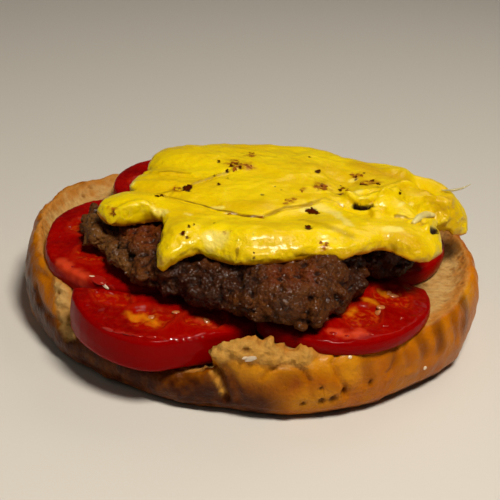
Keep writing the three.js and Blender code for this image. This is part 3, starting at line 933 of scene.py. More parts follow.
# %% Finish the tomato
# The pink places are a painted glare on the wet rims of the left and front-right slices, and pale flesh on
# the front-left slice.
COLOURED_PLACES = {
    "gold": [("tomato_front_left", [(130, 318), (142, 316), (154, 321)], 2.1),
             ("tomato_front_right", [(378, 292), (386, 295)], 1.3),
             ("tomato_front_right", [(368, 301), (378, 305)], 1.6),
             ("tomato_front_right", [(350, 314), (354, 311)], 1.3)],
    "pink": [("tomato_left", [(62, 262), (70, 270), (84, 278)], 2.6),
             ("tomato_front_right", [(332, 331), (345, 335), (362, 333)], 1.9),
             ("tomato_front_left", [(198, 320), (208, 322), (214, 328)], 1.3)],
}
COLOURED_WEIGHT = 0.6


def wet_tomato():
    """Deep red wet flesh that lets light in, with its skin, gel, ribs and core."""
    finish, tree = new_finish("ripe_tomato_freshly_cut")
    masks = kept_masks(tree, "pocket", "rim_of_pocket", "skin", "core", "gold", "pink")
    broad = noise(tree, 9, 3.0)
    fibre = noise(tree, 1.4, 4.0)
    gel = mixed(tree, mapped(tree, fibre, 0.5, 0.7), "#A01202", "#C8560E")
    colour = layered(tree, mixed(tree, mapped(tree, broad, 0.4, 0.68), "#8E0200", "#720000"),
                     (mapped(tree, fibre, 0.45, 0.75), 0.22, "#B4240A"), (masks["pocket"], 0.55, gel),
                     (masks["rim_of_pocket"], 0.15, "#CC3A12"), (masks["core"], 0.5, "#D2583A"),
                     (masks["skin"], 1.0, "#880000"), (masks["gold"], 1.0, "#DC860E"),
                     (masks["pink"], 1.0, "#DC4E28"))
    surface(tree, {"Base Color": colour, "Roughness": mapped(tree, broad, first=0.12, last=0.26), "IOR": 1.35,
                   "Coat Weight": 0.05, "Coat Roughness": 0.05, "Specular IOR Level": 0.06,
                   "Normal": relief(tree, fibre, 0.35, 0.3), "Subsurface Weight": 0.3,
                   "Subsurface Scale": 2.5 * MM, "Subsurface Radius": (1.0, 0.18, 0.08)})
    return finish


tomato_finish = wet_tomato()
slice_sights = {node: sight(mesh) for node, mesh in slices.items()}
for node, mesh in slices.items():
    points = read_points(mesh)
    uneven = 0.9 * bumps(points, 2.2, 57, 2)
    for mask, places in COLOURED_PLACES.items():
        listed = [(line, reach) for on, line, reach in places if on == node]
        tinted = COLOURED_WEIGHT * marks(points, slice_sights[node], listed, uneven=uneven)
        store(mesh, **{mask: tinted})
    finish_piece(node + "_cut", mesh, tomato_finish, "tomato", node)

# %% [markdown]
# ## Tomato seeds
# The seeds are flat pale drops in a coat of gel, and only those in the open pockets of
# the two front slices can be seen. They are laid at their places in the photograph, half
# sunk in the gel. A plain finish would look like plastic beads, so they take light in.

# %% Lay the seeds
SEED_PLACES = {
    "tomato_front_right": [((394, 296), 0.1, 1.5), ((381, 307), 0.7, 1.25), ((377, 313), 0.1, 1.3),
                           ((389, 293), 1.2, 0.9)],
    "tomato_front_left": [((176, 312), 0.3, 1.0), ((207, 321), 2.5, 1.1), ((151, 317), 0.2, 1.0)],
}
SEED_SHOWS = -0.08


def wet_seed():
    """A pale orange seed under clear gel."""
    finish, tree = new_finish("tomato_seed_in_gel")
    colour = mixed(tree, noise(tree, 1.2, 2.0), "#CC8A4C", "#A8481A")
    surface(tree, {"Base Color": colour, "Roughness": 0.35, "Coat Weight": 0.7, "Coat Roughness": 0.06,
                   "Subsurface Weight": 0.25, "Subsurface Scale": 1 * MM})
    return finish


def spots_on(target, listed, raise_by=0.0):
    """Turns places of (pixel, turn, size) into spots for the laying tree."""
    spots = []
    for pixel, turned, size in listed:
        for point, normal in seen(target, [pixel]):
            spots.append((point + normal * raise_by, normal, turned, np.resize(size, 3)))
    return spots


seed_spots = [spot for node, listed in SEED_PLACES.items()
              for spot in spots_on(slice_sights[node], listed, SEED_SHOWS)]
lay_piece("tomato_seeds", seed_spots, patterns["seed"], wet_seed(), "tomato")

# %% [markdown]
# ## The beef patty
# A hand-pressed patty is made of short fat threads of mince, squeezed together and then
# browned until they shrink and part. Noise alone looks like rock. So the solid is first
# drawn in a little and cleft into clumps, then large and small pellets are strewn over it
# by the tree, and one skin is laid over the whole, which fuses them as frying does. Fine
# grains are pressed in last.

# %% Shape the patty
CORE_FACE_MM = 0.9
CORE_DRAWN_IN = 0.3
CLUMP_MM = 8.5
CLUMP_RISE = 2.0
CLUMP_WAVES = [(1.0, 5.5, 58, 2)]
CLEFT_WIDE = 0.16
CLEFT_DEPTH = 1.2
PELLETS = [
    {"Spacing": 3.4, "Smallest": 1.0, "Largest": 2.1, "Sink": 0.7, "Seed": 5},
    {"Spacing": 1.9, "Smallest": 0.45, "Largest": 0.95, "Sink": 0.1, "Seed": 6},
]
FULL_TURN = 6.28
MEAT_FACE_MM = 0.436
GRAIN_MM = 1.25
GRAIN_RISE = 0.34
MEAT_HOLLOW_WITHIN = 14
MEAT_HOLLOW_MM = 0.7
GRAIN_WAVES = [(0.3, 2.2, 62, 3)]
FULL_PLACES = [
    ([(196, 290), (225, 302), (255, 310), (285, 314), (306, 322)], 2.2, 8.0),
    ([(92, 226), (94, 240)], 1.3, 5.0), ([(113, 256), (118, 270)], 1.6, 4.5),
    ([(330, 262), (355, 275)], 0.8, 6.0),
]
PATTY_CLEFTS = [
    ([(232, 262), (238, 275), (236, 292)], 1.8, 2.2), ([(104, 246), (110, 240), (120, 236)], 1.6, 2.0),
    ([(126, 252), (128, 268), (124, 280)], 1.6, 2.2), ([(150, 268), (152, 285)], 1.4, 2.0),
    ([(366, 262), (362, 278)], 1.2, 2.0),
]
TONE_REACH = 7.0
# The grey and red places are tones of the meat. The dark places are painted shadow, under the overhangs of
# the patty and the cheese, in the clefts and in the recesses.
TONE_PLACES = {
    "grey": [[(96, 215), (98, 240)], [(108, 255), (118, 268)]],
    "red": [[(130, 226), (145, 236), (155, 228)], [(285, 275), (300, 272)]],
    "dark": [[(120, 282), (170, 292), (205, 292)], [(180, 275), (215, 285)], [(232, 262), (240, 276)],
             [(380, 262), (408, 262)], [(350, 262), (362, 280)]],
}

beef_solid = copy_in_mm("beef_patty")
patty_sight = sight(beef_solid)
meat_core = skinned(beef_solid, CORE_FACE_MM)
points = read_points(meat_core)
near, border, _ = grains(points, CLUMP_MM, 60)
cleft = 1 - ease(border + 0.06 * bumps(points, 3, 59), 0.0, CLEFT_WIDE)
height = CLUMP_RISE * (0.5 - near) + waves(points, CLUMP_WAVES) - CLEFT_DEPTH * cleft - CORE_DRAWN_IN
core_sight = sight(meat_core)
height += strokes(points, core_sight, FULL_PLACES) - strokes(points, core_sight, PATTY_CLEFTS)
press(meat_core, height)
store(meat_core, seen=1 - ease(-read_normals(meat_core)[:, 2], 0.8, 0.95))
both = bmesh.new()
both.from_mesh(meat_core)
for values in PELLETS:
    tumble = (FULL_TURN, FULL_TURN, FULL_TURN)
    both.from_mesh(grow(meat_core, STREW, Shape=patterns["pellet"], Tumble=tumble, Mask="seen", **values))
pressed_together = bpy.data.meshes.new("pressed_together")
both.to_mesh(pressed_together)
both.free()
patty = skinned(pressed_together, MEAT_FACE_MM)
write_points(patty, smoothed(read_points(patty), read_edges(patty), 2, 0.4))
points = read_points(patty)
near, _, tone = grains(points, GRAIN_MM, 61)
press(patty, GRAIN_RISE * (0.5 - near) + waves(points, GRAIN_WAVES))
points = read_points(patty)
# The hollows are kept as a mask of painted shade.
store(patty, hollow=0.5 + sunk_in(patty, MEAT_HOLLOW_WITHIN) / MEAT_HOLLOW_MM, grain_tone=tone,
      seen=1 - ease(-read_normals(patty)[:, 2], 0.2, 0.6))
uneven = 1.6 * bumps(points, 4.0, 63, 2)
for name, lines in TONE_PLACES.items():
    listed = [(line, TONE_REACH) for line in lines]
    store(patty, **{name: marks(points, patty_sight, listed, 6 / 7, uneven)})
print(f"patty: {len(points)} points")

# %% [markdown]
# ## Browned mince
# Fried mince is grey brown inside, with reddish and olive places, and it is wet with fat,
# so the tips of the grains glint. The finish takes its tone from the grains. It paints
# shade as darker colour into the hollows, and painted shadow into the places under the
# overhangs and in the clefts, and a thin clear coat gives the fat.

# %% Finish the patty


def browned_mince():
    """Rough brown meat with painted shade in its hollows and shadowed places, with a thin wet coat of fat."""
    finish, tree = new_finish("fried_beef_mince")
    masks = kept_masks(tree, "hollow", "grain_tone", "grey", "red", "dark")
    broad = noise(tree, 7, 3.0)
    fine = noise(tree, 0.9, 4.0)
    # The last two layers are painted shadow at the dark places and painted shade in the hollows.
    colour = layered(tree, mixed(tree, mapped(tree, broad, 0.35, 0.65), "#4C2306", "#321303"),
                     (masks["grain_tone"], 0.35, "#66390A"), (masks["grey"], 1.0, "#64401A"),
                     (masks["red"], 0.6, "#642203"), (mapped(tree, fine, 0.5, 0.72), 0.25, "#80501A"),
                     (masks["dark"], 0.75, "#2A0E04"),
                     (mapped(tree, masks["hollow"], 0.52, 0.85), 0.9, "#1A0803"))
    grainy = relief(tree, calc(tree, "SUBTRACT", fine, cells_of(tree, 0.95)), 0.9, 0.5)
    surface(tree, {"Base Color": colour, "Roughness": 0.75, "Coat Roughness": 0.1,
                   "Coat Weight": mapped(tree, broad, 0.4, 0.6, 0.15, 0.4), "Specular IOR Level": 0.08,
                   "Normal": grainy, "Coat Normal": grainy, "Subsurface Weight": 0.08,
                   "Subsurface Scale": 1 * MM, "Subsurface Radius": (1.0, 0.4, 0.2)})
    return finish


meat_ground = patty.copy()
finish_piece("patty_fried", patty, browned_mince(), "beef", "beef_patty")

# %% [markdown]
# ## The melted cheese
# The cheese is a thick soft sheet, folded over itself, that has slumped over the patty
# and browned in spots. The solid has its large folds and its ragged lobes. What is left is
# its skin: faint waves, low ridges and dips, the overlaps of the small folds, the cracks
# between them, the two holes, the lip that hangs lower at some places, and the masks for
# the browned, burnt and pale places of the photograph. Other masks hold painted shade: a
# dark line on the far side of each crack, darker colour in the hollows and at listed
# shaded places, on the sides that face down, and inside the holes.

# %% Shape the cheese
CHEESE_FACE_MM = 0.4
SOFTENED = 5
TOP_SOFTENED = 60
HOLLOW_WITHIN = 40
HOLLOW_MM = 0.8
CRACKS = [
    ([(186, 203), (200, 207), (220, 213), (235, 214), (250, 218), (262, 217)], 1.1, 1.1),
    ([(158, 196), (172, 199), (186, 203)], 0.45, 1.0), ([(262, 217), (285, 209), (312, 204)], 0.45, 1.0),
    ([(147, 173), (160, 175), (176, 174), (190, 175)], 0.35, 0.9),
    ([(160, 196), (174, 191), (188, 188), (206, 180), (228, 172), (240, 168)], 0.35, 1.0),
    ([(395, 218), (405, 219), (415, 221), (425, 227)], 0.5, 0.8),
    ([(312, 204), (324, 200), (334, 203), (342, 208)], 0.35, 0.8),
    ([(318, 193), (330, 192), (338, 195)], 0.25, 0.6),
    ([(180, 256), (190, 251), (198, 250)], 0.25, 0.6),
    ([(236, 256), (238, 246)], 0.5, 0.9),
    ([(300, 222), (330, 228), (352, 236)], 0.3, 2.5),
]
CRACK_WANDERS = 0.3
# The colour mask of a crack is painted shade. It is a dark line drawn a little higher in the picture than the
# crack, on its far side, where the upper layer overlaps.
CRACK_SHOWS_PX = 1.8
CRACK_SHOWN_WANDERS = 0.25
CRACK_DARKEST = 0.9
DIPS = [
    ([(330, 172), (350, 180), (342, 190)], 0.9, 4.5), ([(421, 182), (431, 184), (441, 189)], 2.0, 4.5),
    ([(421, 177.5), (431, 179.5), (440, 184.5)], 4.0, 5.5), ([(466, 224), (464, 223)], 0.9, 1.6),
    ([(205, 176), (260, 172)], 0.4, 5.0), ([(200, 222), (215, 218)], 0.5, 3.0),
]
RIDGES = [
    ([(443, 219), (436, 225), (426, 229)], 1.5, 1.8), ([(392, 171), (402, 172), (411, 177)], 0.9, 3.5),
    ([(346, 197), (354, 191), (366, 190)], 0.5, 1.6), ([(135, 184), (160, 184), (182, 183)], 0.5, 2.5),
    ([(170, 252), (215, 240), (240, 240), (300, 236)], 0.4, 4.0), ([(300, 190), (330, 184)], 0.4, 3.0),
    ([(322, 206), (345, 212), (365, 222)], 0.4, 2.2),
]
FOLDS = [
    ([(150, 194), (160, 196), (172, 199), (186, 203), (200, 207), (220, 213), (235, 214), (250, 218),
      (262, 217), (285, 209), (312, 204), (340, 202)], 0.3, 4.5),
    ([(381, 199), (373, 202), (367, 204), (355, 205), (349, 200)], 1.5, 3.5),
    ([(371, 215), (369, 207), (377, 200), (391, 191)], 1.3, 4.0),
    ([(417, 185), (405, 187), (391, 191)], 1.2, 3.5),
    ([(446, 194), (447, 207), (450, 219), (454, 231)], 1.4, 3.5),
    ([(411, 222), (424, 221), (436, 217)], 0.8, 2.5),
    ([(190, 175), (176, 174), (160, 175), (147, 173)], 0.35, 4.0),
    ([(242, 168), (228, 173), (206, 181), (188, 189)], 0.12, 4.0),
]
# A hole is listed as its line, its depth, how far it is at full depth and where it ends.
HOLES = [
    ([(355, 207), (362, 208), (369, 208)], 1.8, 0.2, 0.75), ([(369, 207), (372, 212)], 1.0, 0.05, 0.4),
    ([(431, 232), (438, 231)], 1.1, 0.2, 0.8),
]
UPPER_WAVES = [(0.35, 10, 71, 1), (0.25, 4.0, 72, 2)]
RIM_WAVES = [(0.32, 2.6, 73, 2), (0.3, 6.0, 70, 1)]
LIP_WAVES = [(0.08, 1.8, 69, 2)]
UNDERSIDE_RAISED = 0.15
LIP_DROPS = [
    ([(216, 250), (232, 252), (250, 254), (275, 252), (300, 250), (325, 248), (336, 248)], 1.3, 5.0),
    ([(214, 252), (220, 252), (230, 252)], 0.5, 3.0), ([(160, 264)], 1.1, 2.5),
    ([(428, 250), (420, 252)], 0.5, 4.0),
    ([(100, 216), (110, 221), (120, 220), (140, 213)], -1.3, 4.0), ([(127, 218)], 1.5, 1.5),
    ([(110, 222)], 0.9, 2.0),
]
THREAD_FROM = (448.5, 191.5)
SHADED_PLACES = [
    ([(222, 206), (240, 206), (262, 205)], 0.6, 5.0), ([(450, 200), (456, 222)], 0.65, 6.5),
    ([(424, 190), (438, 200), (444, 212)], 0.5, 5.0), ([(398, 240), (415, 243)], 0.6, 5.0),
    ([(360, 166), (380, 174), (405, 178)], 0.8, 6.0), ([(300, 256), (330, 254), (350, 254)], 0.9, 2.0),
    ([(150, 168), (175, 178)], 0.3, 6.0), ([(330, 168), (360, 180)], 0.5, 6.0),
    ([(161, 264), (178, 260), (198, 253)], 0.7, 2.0), ([(380, 245), (400, 252), (430, 257)], 0.6, 2.0),
    ([(300, 196), (340, 196)], 0.4, 3.0),
]
BURNT_SPOTS = [
    ((312, 212), 1.9), ((308, 211), 1.2), ((317, 213), 1.0), ((309, 227), 1.1), ((187, 188), 1.4),
    ((190, 186), 0.9), ((162, 196), 0.9), ((158, 196), 0.7), ((182, 233), 0.8), ((187, 237), 0.45),
    ((189, 226), 0.35), ((194, 224), 0.35), ((214, 223), 0.4), ((318, 171), 1.0), ((340, 190), 0.8),
    ((356, 177), 0.6), ((372, 181), 0.7), ((378, 187), 0.5), ((344, 188), 0.8), ((322, 186), 0.6),
    ((365, 185), 1.1), ((361, 185), 0.7), ((378, 184), 0.7), ((400, 193), 0.6), ((219, 184), 0.6),
    ((262, 195), 0.6), ((309, 157), 0.6), ((275, 187), 0.4), ((281, 190), 0.4), ((219, 161), 0.6),
    ((227, 170), 0.6), ((236, 164), 0.8), ((231, 166), 0.7), ((240, 167), 0.6), ((254, 253), 0.4),
    ((214, 175), 0.4), ((228, 178), 0.35), ((341, 186), 0.5), ((364, 173), 0.4),
]
BROWN_SPOTS = [
    ((235, 164), 2.6), ((322, 187), 2.2), ((316, 188), 1.2), ((290, 201), 1.1), ((286, 203), 0.8),
    ((294, 199), 0.8), ((357, 175), 1.6), ((370, 183), 2.2), ((345, 189), 1.6), ((325, 243), 1.2),
    ((112, 213), 1.3), ((225, 232), 0.5), ((247, 166), 2.2), ((251, 155), 1.6), ((302, 190), 1.0),
    ((176, 189), 1.4), ((262, 218), 1.0), ((230, 214), 1.0),
]
BURNT_DEPTH = 0.18
BROWN_WIDENED = 1.35
PALE_SPOTS = [
    ([(210, 237), (222, 236)], 2.3), ([(303, 211), (320, 208), (336, 213), (349, 223)], 1.5),
    ([(387, 228), (400, 228)], 1.5), ([(155, 211), (165, 212)], 1.3), ([(213, 208), (222, 208)], 1.1),
    ([(130, 188), (134, 186)], 1.0), ([(350, 193), (360, 190)], 1.1), ([(350, 178), (355, 177)], 0.9),
    ([(186, 213), (190, 214)], 0.6), ([(400, 205), (412, 204)], 0.8),
]

cheese_solid = copy_in_mm("melted_cheese")
cheese_sight = sight(cheese_solid)
cheese = skinned(cheese_solid, CHEESE_FACE_MM)
across_px, down_px = pictured(read_points(cheese))
drop_points(cheese, (across_px > THREAD_FROM[0]) & (down_px < THREAD_FROM[1]))
only_largest(cheese)
edges = read_edges(cheese)
rounded = smoothed(read_points(cheese), edges, SOFTENED)
write_points(cheese, rounded)
flat_top = smoothed(ease(read_normals(cheese)[:, 2], 0.8, 0.95), edges, 8)
points = rounded + flat_top[:, None] * (smoothed(rounded, edges, TOP_SOFTENED) - rounded)
write_points(cheese, points)
normals = read_normals(cheese)
upper = ease(normals[:, 2], -0.2, 0.4)
rim = 1 - ease(np.abs(normals[:, 2]), 0.5, 0.9)
front_lip = ease(-normals[:, 1], 0.05, 0.4) * ease(normals[:, 2], -0.1, 0.3)
height = upper * waves(points, UPPER_WAVES) + rim * waves(points, RIM_WAVES)
height += front_lip * waves(points, LIP_WAVES)
crack = np.zeros(len(points))
crack_noise = CRACK_WANDERS * bumps(points, 2.5, 74, 2)
shown_noise = CRACK_SHOWN_WANDERS * bumps(points, 2.5, 78, 2)
for line, depth, reach in CRACKS:
    away = away_from(points, cheese_sight, line) + crack_noise
    height -= depth * (1 - ease(away, 0.0, reach)) * upper
    # Painted shade along the far side of the crack.
    shown = [(across_px, down_px - CRACK_SHOWS_PX) for across_px, down_px in line]
    away = away_from(points, cheese_sight, shown) + shown_noise
    crack = np.maximum(crack, min(1.3 * depth, CRACK_DARKEST) * (1 - ease(away, 0.1, 0.6 * reach)))
height += (strokes(points, cheese_sight, RIDGES) - strokes(points, cheese_sight, DIPS)) * upper
for line, rise, reach in FOLDS:
    height += fold(points, cheese_sight, line, rise, reach) * upper
# The inside of each hole is painted dark as shade.
gap = np.zeros(len(points))
for line, depth, full, reach in HOLES:
    away = away_from(points, cheese_sight, line)
    height -= depth * (1 - ease(away, full, reach)) * upper
    gap = np.maximum(gap, 1 - ease(away, reach - 0.2, reach + 0.25))

burnt_listed = [([pixel], radius) for pixel, radius in BURNT_SPOTS]
brown_listed = [([pixel], BROWN_WIDENED * radius) for pixel, radius in BROWN_SPOTS]
burnt = marks(points, cheese_sight, burnt_listed, 0.35, 0.45 * bumps(points, 1.3, 75, 2), in_shares=True)
brown = marks(points, cheese_sight, brown_listed, 0.9, 0.45 * bumps(points, 1.3, 76, 2), in_shares=True)
pale = marks(points, cheese_sight, PALE_SPOTS, 0.55, 0.35 * bumps(points, 2.0, 77, 2))
height -= BURNT_DEPTH * burnt * upper
press(cheese, height)
slumped = read_points(cheese)
slumped[:, 2] += ease(-normals[:, 2], -0.1, 0.6) * UNDERSIDE_RAISED
for line, drop, reach in LIP_DROPS:
    slumped[:, 2] -= drop * (1 - ease(away_from(points, cheese_sight, line), 0.4 * reach, reach))
write_points(cheese, slumped)
points = read_points(cheese)
# Painted shade: darker where the skin lies sunk in, and at the listed shaded places.
shade = sunk_in(cheese, HOLLOW_WITHIN) / HOLLOW_MM
for line, weight, reach in SHADED_PLACES:
    shade = np.maximum(shade, weight * stroke(points, cheese_sight, line, reach))
# The mask of the sides that face down is painted shade, orange under the lip and the rims.
store(cheese, crack=crack, burnt=burnt * upper, brown=brown * upper, pale=pale * upper, gap=gap,
      under=1 - ease(normals[:, 2], -0.55, 0.1), hollow=shade, beaded=front_lip)
print(f"cheese: {len(points)} points")

# %% [markdown]
# ## Melted cheese, greasy and browned
# Processed cheese melts to a smooth, bright yellow skin that sweats a little oil. It is
# not clear, but light does enter it, which softens its edges. It turns brown where the heat
# caught it. Shade is painted into its colour: ochre in its hollows and shaded places,
# orange on the sides that face down, dark along its cracks and inside its holes. The
# yellow is kept pure: mixed with grey or blue it goes olive at once. The burnt spots and
# the holes don't shine.

# %% Finish the cheese


def melted_cheese():
    """Soft pure yellow with a greasy shine and brown where it caught, with painted shade: orange below,
    darker in hollows, along cracks and in holes.
    """
    finish, tree = new_finish("melted_processed_cheese")
    masks = kept_masks(tree, "crack", "burnt", "brown", "pale", "gap", "under", "hollow", "beaded")
    tint = mapped(tree, noise(tree, 13, 3.0), 0.35, 0.65)
    fine = noise(tree, 1.1, 3.0)
    patchy = mapped(tree, fine, 0.38, 0.6, 0.45, 1.0)
    # Painted shade: ochre in the hollows and shaded places, orange on the sides that face down, dark along
    # the cracks and inside the holes.
    colour = layered(tree, mixed(tree, tint, "#E8CC00", "#DCB900"),
                     (masks["hollow"], 0.7, "#B88200"), (masks["under"], 1.0, "#C47C00"),
                     (masks["pale"], 1.0, "#EAD45C"), (masks["brown"], patchy, "#9A5206"),
                     (masks["crack"], 1.0, "#5E3000"), (masks["burnt"], 1.0, "#3A0E02"),
                     (masks["gap"], 1.0, "#2A0E02"))
    matt = calc(tree, "MAXIMUM", masks["gap"], masks["burnt"])
    drops = calc(tree, "MULTIPLY", fine, masks["beaded"])
    rough = calc(tree, "MULTIPLY_ADD", fine, 0.5, drops)
    surface(tree, {"Base Color": colour, "IOR": 1.45, "Specular IOR Level": 0.2,
                   "Roughness": calc(tree, "MAXIMUM", mapped(tree, fine, first=0.24, last=0.42), matt),
                   "Coat Weight": mapped(tree, masks["beaded"], first=0.1, last=0.26),
                   "Coat Roughness": 0.12, "Normal": relief(tree, rough, 0.7, 0.4),
                   "Subsurface Weight": 0.2, "Subsurface Scale": 2 * MM,
                   "Subsurface Radius": (1.0, 0.7, 0.1)})
    return finish


cheese_top_sight = sight(cheese)
bead_ground = cheese.copy()
finish_piece("cheese_melted", cheese, melted_cheese(), "cheese", "melted_cheese")

# %% [markdown]
# ## Burnt flecks, drops of juice, beads of grease and loose ends
# Where the cheese caught in the pan it carries crisp dark flecks, and softer browned ones
# round them. Its front edge and the mince sweat small beads of grease and fat that glint.
# Juice of the meat stands in drops on the torn crumb, the crust and the left slices, and
# their pale colour is a painted glare. Juice of the tomato stands in red beads along the
# rims of the slices. Each kind is one small shape that the trees lay or strew. The drops
# keep a clear coat, because they are seen by their shine alone. A thread of cheese pulled
# from the right end stands clear, and a pale shred lies by it, so both are drawn as tubes
# that grow thinner.

# %% Lay the flecks and strew the beads
FLECK_SCALE = 0.85
BROWNED_EACH = 5
BROWNED_STRAY_PX = 1.7
CHEESE_BEADS = {"Spacing": 2.6, "Smallest": 0.22, "Largest": 0.4, "Sink": 0.1, "Seed": 8}
FAT_BEADS = {"Spacing": 2.0, "Smallest": 0.2, "Largest": 0.38, "Sink": 0.05, "Seed": 9}
DARKER = 0.8


def plain_finish(name, code, rough, shine, clear):
    """A finish of one colour that varies a little, for very small pieces."""
    finish, tree = new_finish(name)
    darker = [DARKER * channel for channel in linear(code)[:3]] + [1.0]
    surface(tree, {"Base Color": mixed(tree, noise(tree, 1.0, 3.0), code, darker),
                   "Roughness": rough, "Specular IOR Level": shine, "Coat Weight": clear,
                   "Coat Roughness": 0.05})
    return finish


def strew_piece(name, ground, mask, finish, slot, values):
    """Strews beads over the part of a surface that a mask allows, as one finished piece."""
    beads = grow(ground, STREW, Shape=patterns["bead"], Tumble=(0.0, 0.0, FULL_TURN), Mask=mask,
                 Material=finish, **values)
    finish_piece(name, beads, finish, slot)


draw = np.random.default_rng(12)
fleck_spots = []
for pixel, radius in BURNT_SPOTS:
    place = (pixel, draw.uniform(0, FULL_TURN), radius)
    for point, up, turned, _ in spots_on(cheese_top_sight, [place]):
        size = FLECK_SCALE * radius * np.array([draw.uniform(0.9, 1.2), draw.uniform(0.55, 0.8), 0.5])
        fleck_spots.append((point, up, turned, size))
charred = plain_finish("burnt_cheese_fleck", "#4A1802", 0.8, 0.0, 0.0)
lay_piece("burnt_flecks", fleck_spots, patterns["fleck"], charred, "cheese")
browned_spots = []
for pixel, radius in BROWN_SPOTS:
    for _ in range(BROWNED_EACH):
        strayed = np.array(pixel) + draw.normal(0, BROWNED_STRAY_PX * radius, 2) * (1.0, 0.5)
        place = (strayed, draw.uniform(0, FULL_TURN), radius)
        for point, up, turned, _ in spots_on(cheese_top_sight, [place]):
            size = radius * draw.uniform(0.15, 0.34) * np.array([1.3, 0.7, 0.5])
            browned_spots.append((point, up, turned, size))
browned = plain_finish("browned_cheese_fleck", "#985608", 0.6, 0.1, 0.0)
lay_piece("browned_flecks", browned_spots, patterns["fleck"], browned, "cheese")
grease = plain_finish("melted_grease_bead", "#F0D000", 0.08, 0.5, 1.0)
strew_piece("grease_beads", bead_ground, "beaded", grease, "cheese", CHEESE_BEADS)
fat = plain_finish("beef_fat_bead", "#54301A", 0.06, 0.6, 1.0)
strew_piece("fat_beads", meat_ground, "seen", fat, "beef", FAT_BEADS)

# %% Lay the drops of juice
JUICE_DROPS = [
    ((249, 359), 0.1, (2.1, 0.6, 0.5)), ((245, 358), 0.5, (0.8, 0.4, 0.5)),
    ((350, 357), 0.3, (0.5, 0.4, 0.5)), ((425, 368), 0.0, (0.5, 0.5, 0.5)),
    ((95, 277), -0.3, (1.5, 0.32, 0.2)), ((101, 281), -0.6, (1.7, 0.3, 0.22)),
    ((105, 286), -0.7, (1.2, 0.35, 0.25)), ((98, 283), -0.5, (0.6, 0.3, 0.2)),
]
RIM_BEADS = [
    ((108, 329), -0.4, (1.5, 0.4, 0.4)), ((119, 332), -0.2, (1.5, 0.4, 0.4)),
    ((129, 334), -0.1, (1.4, 0.45, 0.45)), ((139, 336), 0.0, (1.6, 0.45, 0.45)),
    ((150, 337), 0.0, (1.4, 0.4, 0.4)), ((165, 339), 0.0, (0.5, 0.35, 0.35)),
    ((171, 339), 0.0, (0.35, 0.3, 0.3)), ((177, 340), 0.0, (0.5, 0.35, 0.35)),
    ((184, 340), 0.0, (0.4, 0.35, 0.35)), ((190, 339), 0.0, (0.6, 0.4, 0.4)),
    ((197, 338), 0.1, (0.4, 0.3, 0.3)), ((203, 337), 0.1, (0.35, 0.3, 0.3)),
    ((99, 280), -0.5, (2.4, 1.3, 0.3)), ((112, 288), -0.7, (1.0, 0.5, 0.3)),
    ((70, 227), 0.4, (0.45, 0.3, 0.3)), ((60, 237), 1.2, (0.4, 0.3, 0.3)),
    ((73, 267), -0.8, (0.6, 0.35, 0.35)), ((347, 336), 0.0, (0.6, 0.4, 0.4)),
    ((333, 333), 0.0, (0.9, 0.4, 0.3)), ((372, 335), 0.2, (0.5, 0.35, 0.35)),
    ((386, 326), 0.4, (0.8, 0.3, 0.3)), ((402, 318), 0.5, (0.6, 0.3, 0.3)),
]
drop_grounds = [bun_top_sight, *slice_sights.values()]


def nearest_spots(listed):
    """For each listed place, the spot on whichever piece the camera meets first."""
    chosen = []
    for place in listed:
        found = [spot for ground in drop_grounds for spot in spots_on(ground, [place])]
        chosen += sorted(found, key=lambda spot: np.linalg.norm(spot[0] - eye))[:1]
    return chosen


# The pale colour of these drops is a painted glare.
juice = plain_finish("meat_juice_drop", "#ECD4B4", 0.05, 0.6, 1.0)
lay_piece("juice_drops", nearest_spots(JUICE_DROPS), patterns["drop"], juice, "bun_crust")
tomato_juice = plain_finish("tomato_juice_bead", "#A01204", 0.04, 0.6, 1.0)
lay_piece("tomato_juice_beads", nearest_spots(RIM_BEADS), patterns["drop"], tomato_juice, "tomato")

# %% Draw the thread and the shred
ROUND_STEPS = 10
LONG_STEPS = 6
ROUNDINGS = 4
THREAD_ROOT = (441, 193)
THREAD = [(441, 190), (452, 190.5), (462, 188.5), (471, 184)]
THREAD_RADII = [0.1, 0.36, 0.28, 0.08]
SHRED = [(413, 224), (419, 218.5), (426, 215), (434, 216)]
SHRED_RADII = [0.5, 0.95, 0.95, 0.5]
SHRED_LIFT = (0.0, 0.0, 0.2)


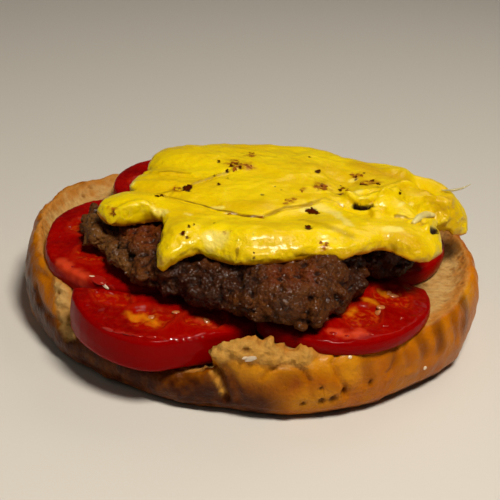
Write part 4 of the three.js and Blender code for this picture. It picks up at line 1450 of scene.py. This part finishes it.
def tube(line, radii, name):
    """A round tube along a line of points, with its own radius at each point and closed ends."""
    rings = []
    for number, (point, radius) in enumerate(zip(line, radii)):
        ahead = line[min(number + 1, len(line) - 1)] - line[max(number - 1, 0)]
        ahead = ahead / np.linalg.norm(ahead)
        aside = np.cross(ahead, (0.0, 0.0, 1.0))
        aside = aside / np.linalg.norm(aside)
        over = np.cross(aside, ahead)
        for step in np.arange(ROUND_STEPS) * 2 * math.pi / ROUND_STEPS:
            rings.append(point + radius * (math.cos(step) * aside + math.sin(step) * over))
    faces = []
    for ring in range(len(line) - 1):
        for step in range(ROUND_STEPS):
            near_side = ring * ROUND_STEPS + step
            next_side = ring * ROUND_STEPS + (step + 1) % ROUND_STEPS
            faces.append((near_side, next_side, next_side + ROUND_STEPS, near_side + ROUND_STEPS))
    faces.append(tuple(reversed(range(ROUND_STEPS))))
    faces.append(tuple(range(len(rings) - ROUND_STEPS, len(rings))))
    mesh = bpy.data.meshes.new(name)
    mesh.from_pydata([tuple(point) for point in rings], [], faces)
    shape = bmesh.new()
    shape.from_mesh(mesh)
    bmesh.ops.recalc_face_normals(shape, faces=shape.faces)
    shape.to_mesh(mesh)
    shape.free()
    return mesh


def finer(line, radii):
    """The same line and radii with more points, rounded at the corners."""
    places = np.arange(len(line))
    at = np.linspace(0, len(line) - 1, (len(line) - 1) * LONG_STEPS + 1)
    values = np.column_stack([line, radii])
    fine_values = np.column_stack([np.interp(at, places, column) for column in values.T])
    for _ in range(ROUNDINGS):
        fine_values[1:-1] = (fine_values[:-2] + 2 * fine_values[1:-1] + fine_values[2:]) / 4
    return fine_values[:, :3], fine_values[:, 3]


def draw_tube(name, line, radii, finish):
    """A tube of cheese along a line, as one finished piece."""
    finish_piece(name, tube(*finer(line, radii), name), finish, "cheese")


root = line_on(cheese_top_sight, [THREAD_ROOT])[0]
root_depth = (eye - root) @ back
thread_line = np.array([eye + root_depth * line_of_sight(pixel) for pixel in THREAD])
draw_tube("cheese_strand", thread_line, THREAD_RADII,
          plain_finish("drawn_cheese_thread", "#B8AC7C", 0.35, 0.3, 0.2))
draw_tube("cheese_shred", line_on(cheese_top_sight, SHRED) + SHRED_LIFT, SHRED_RADII,
          plain_finish("pale_cheese_shred", "#E4D68A", 0.4, 0.3, 0.2))

# %% [markdown]
# ## Tidy up
# The shapes that the trees repeated have done their work and go.

# %% Tidy up and finish
for made in patterns.values():
    bpy.data.objects.remove(made)
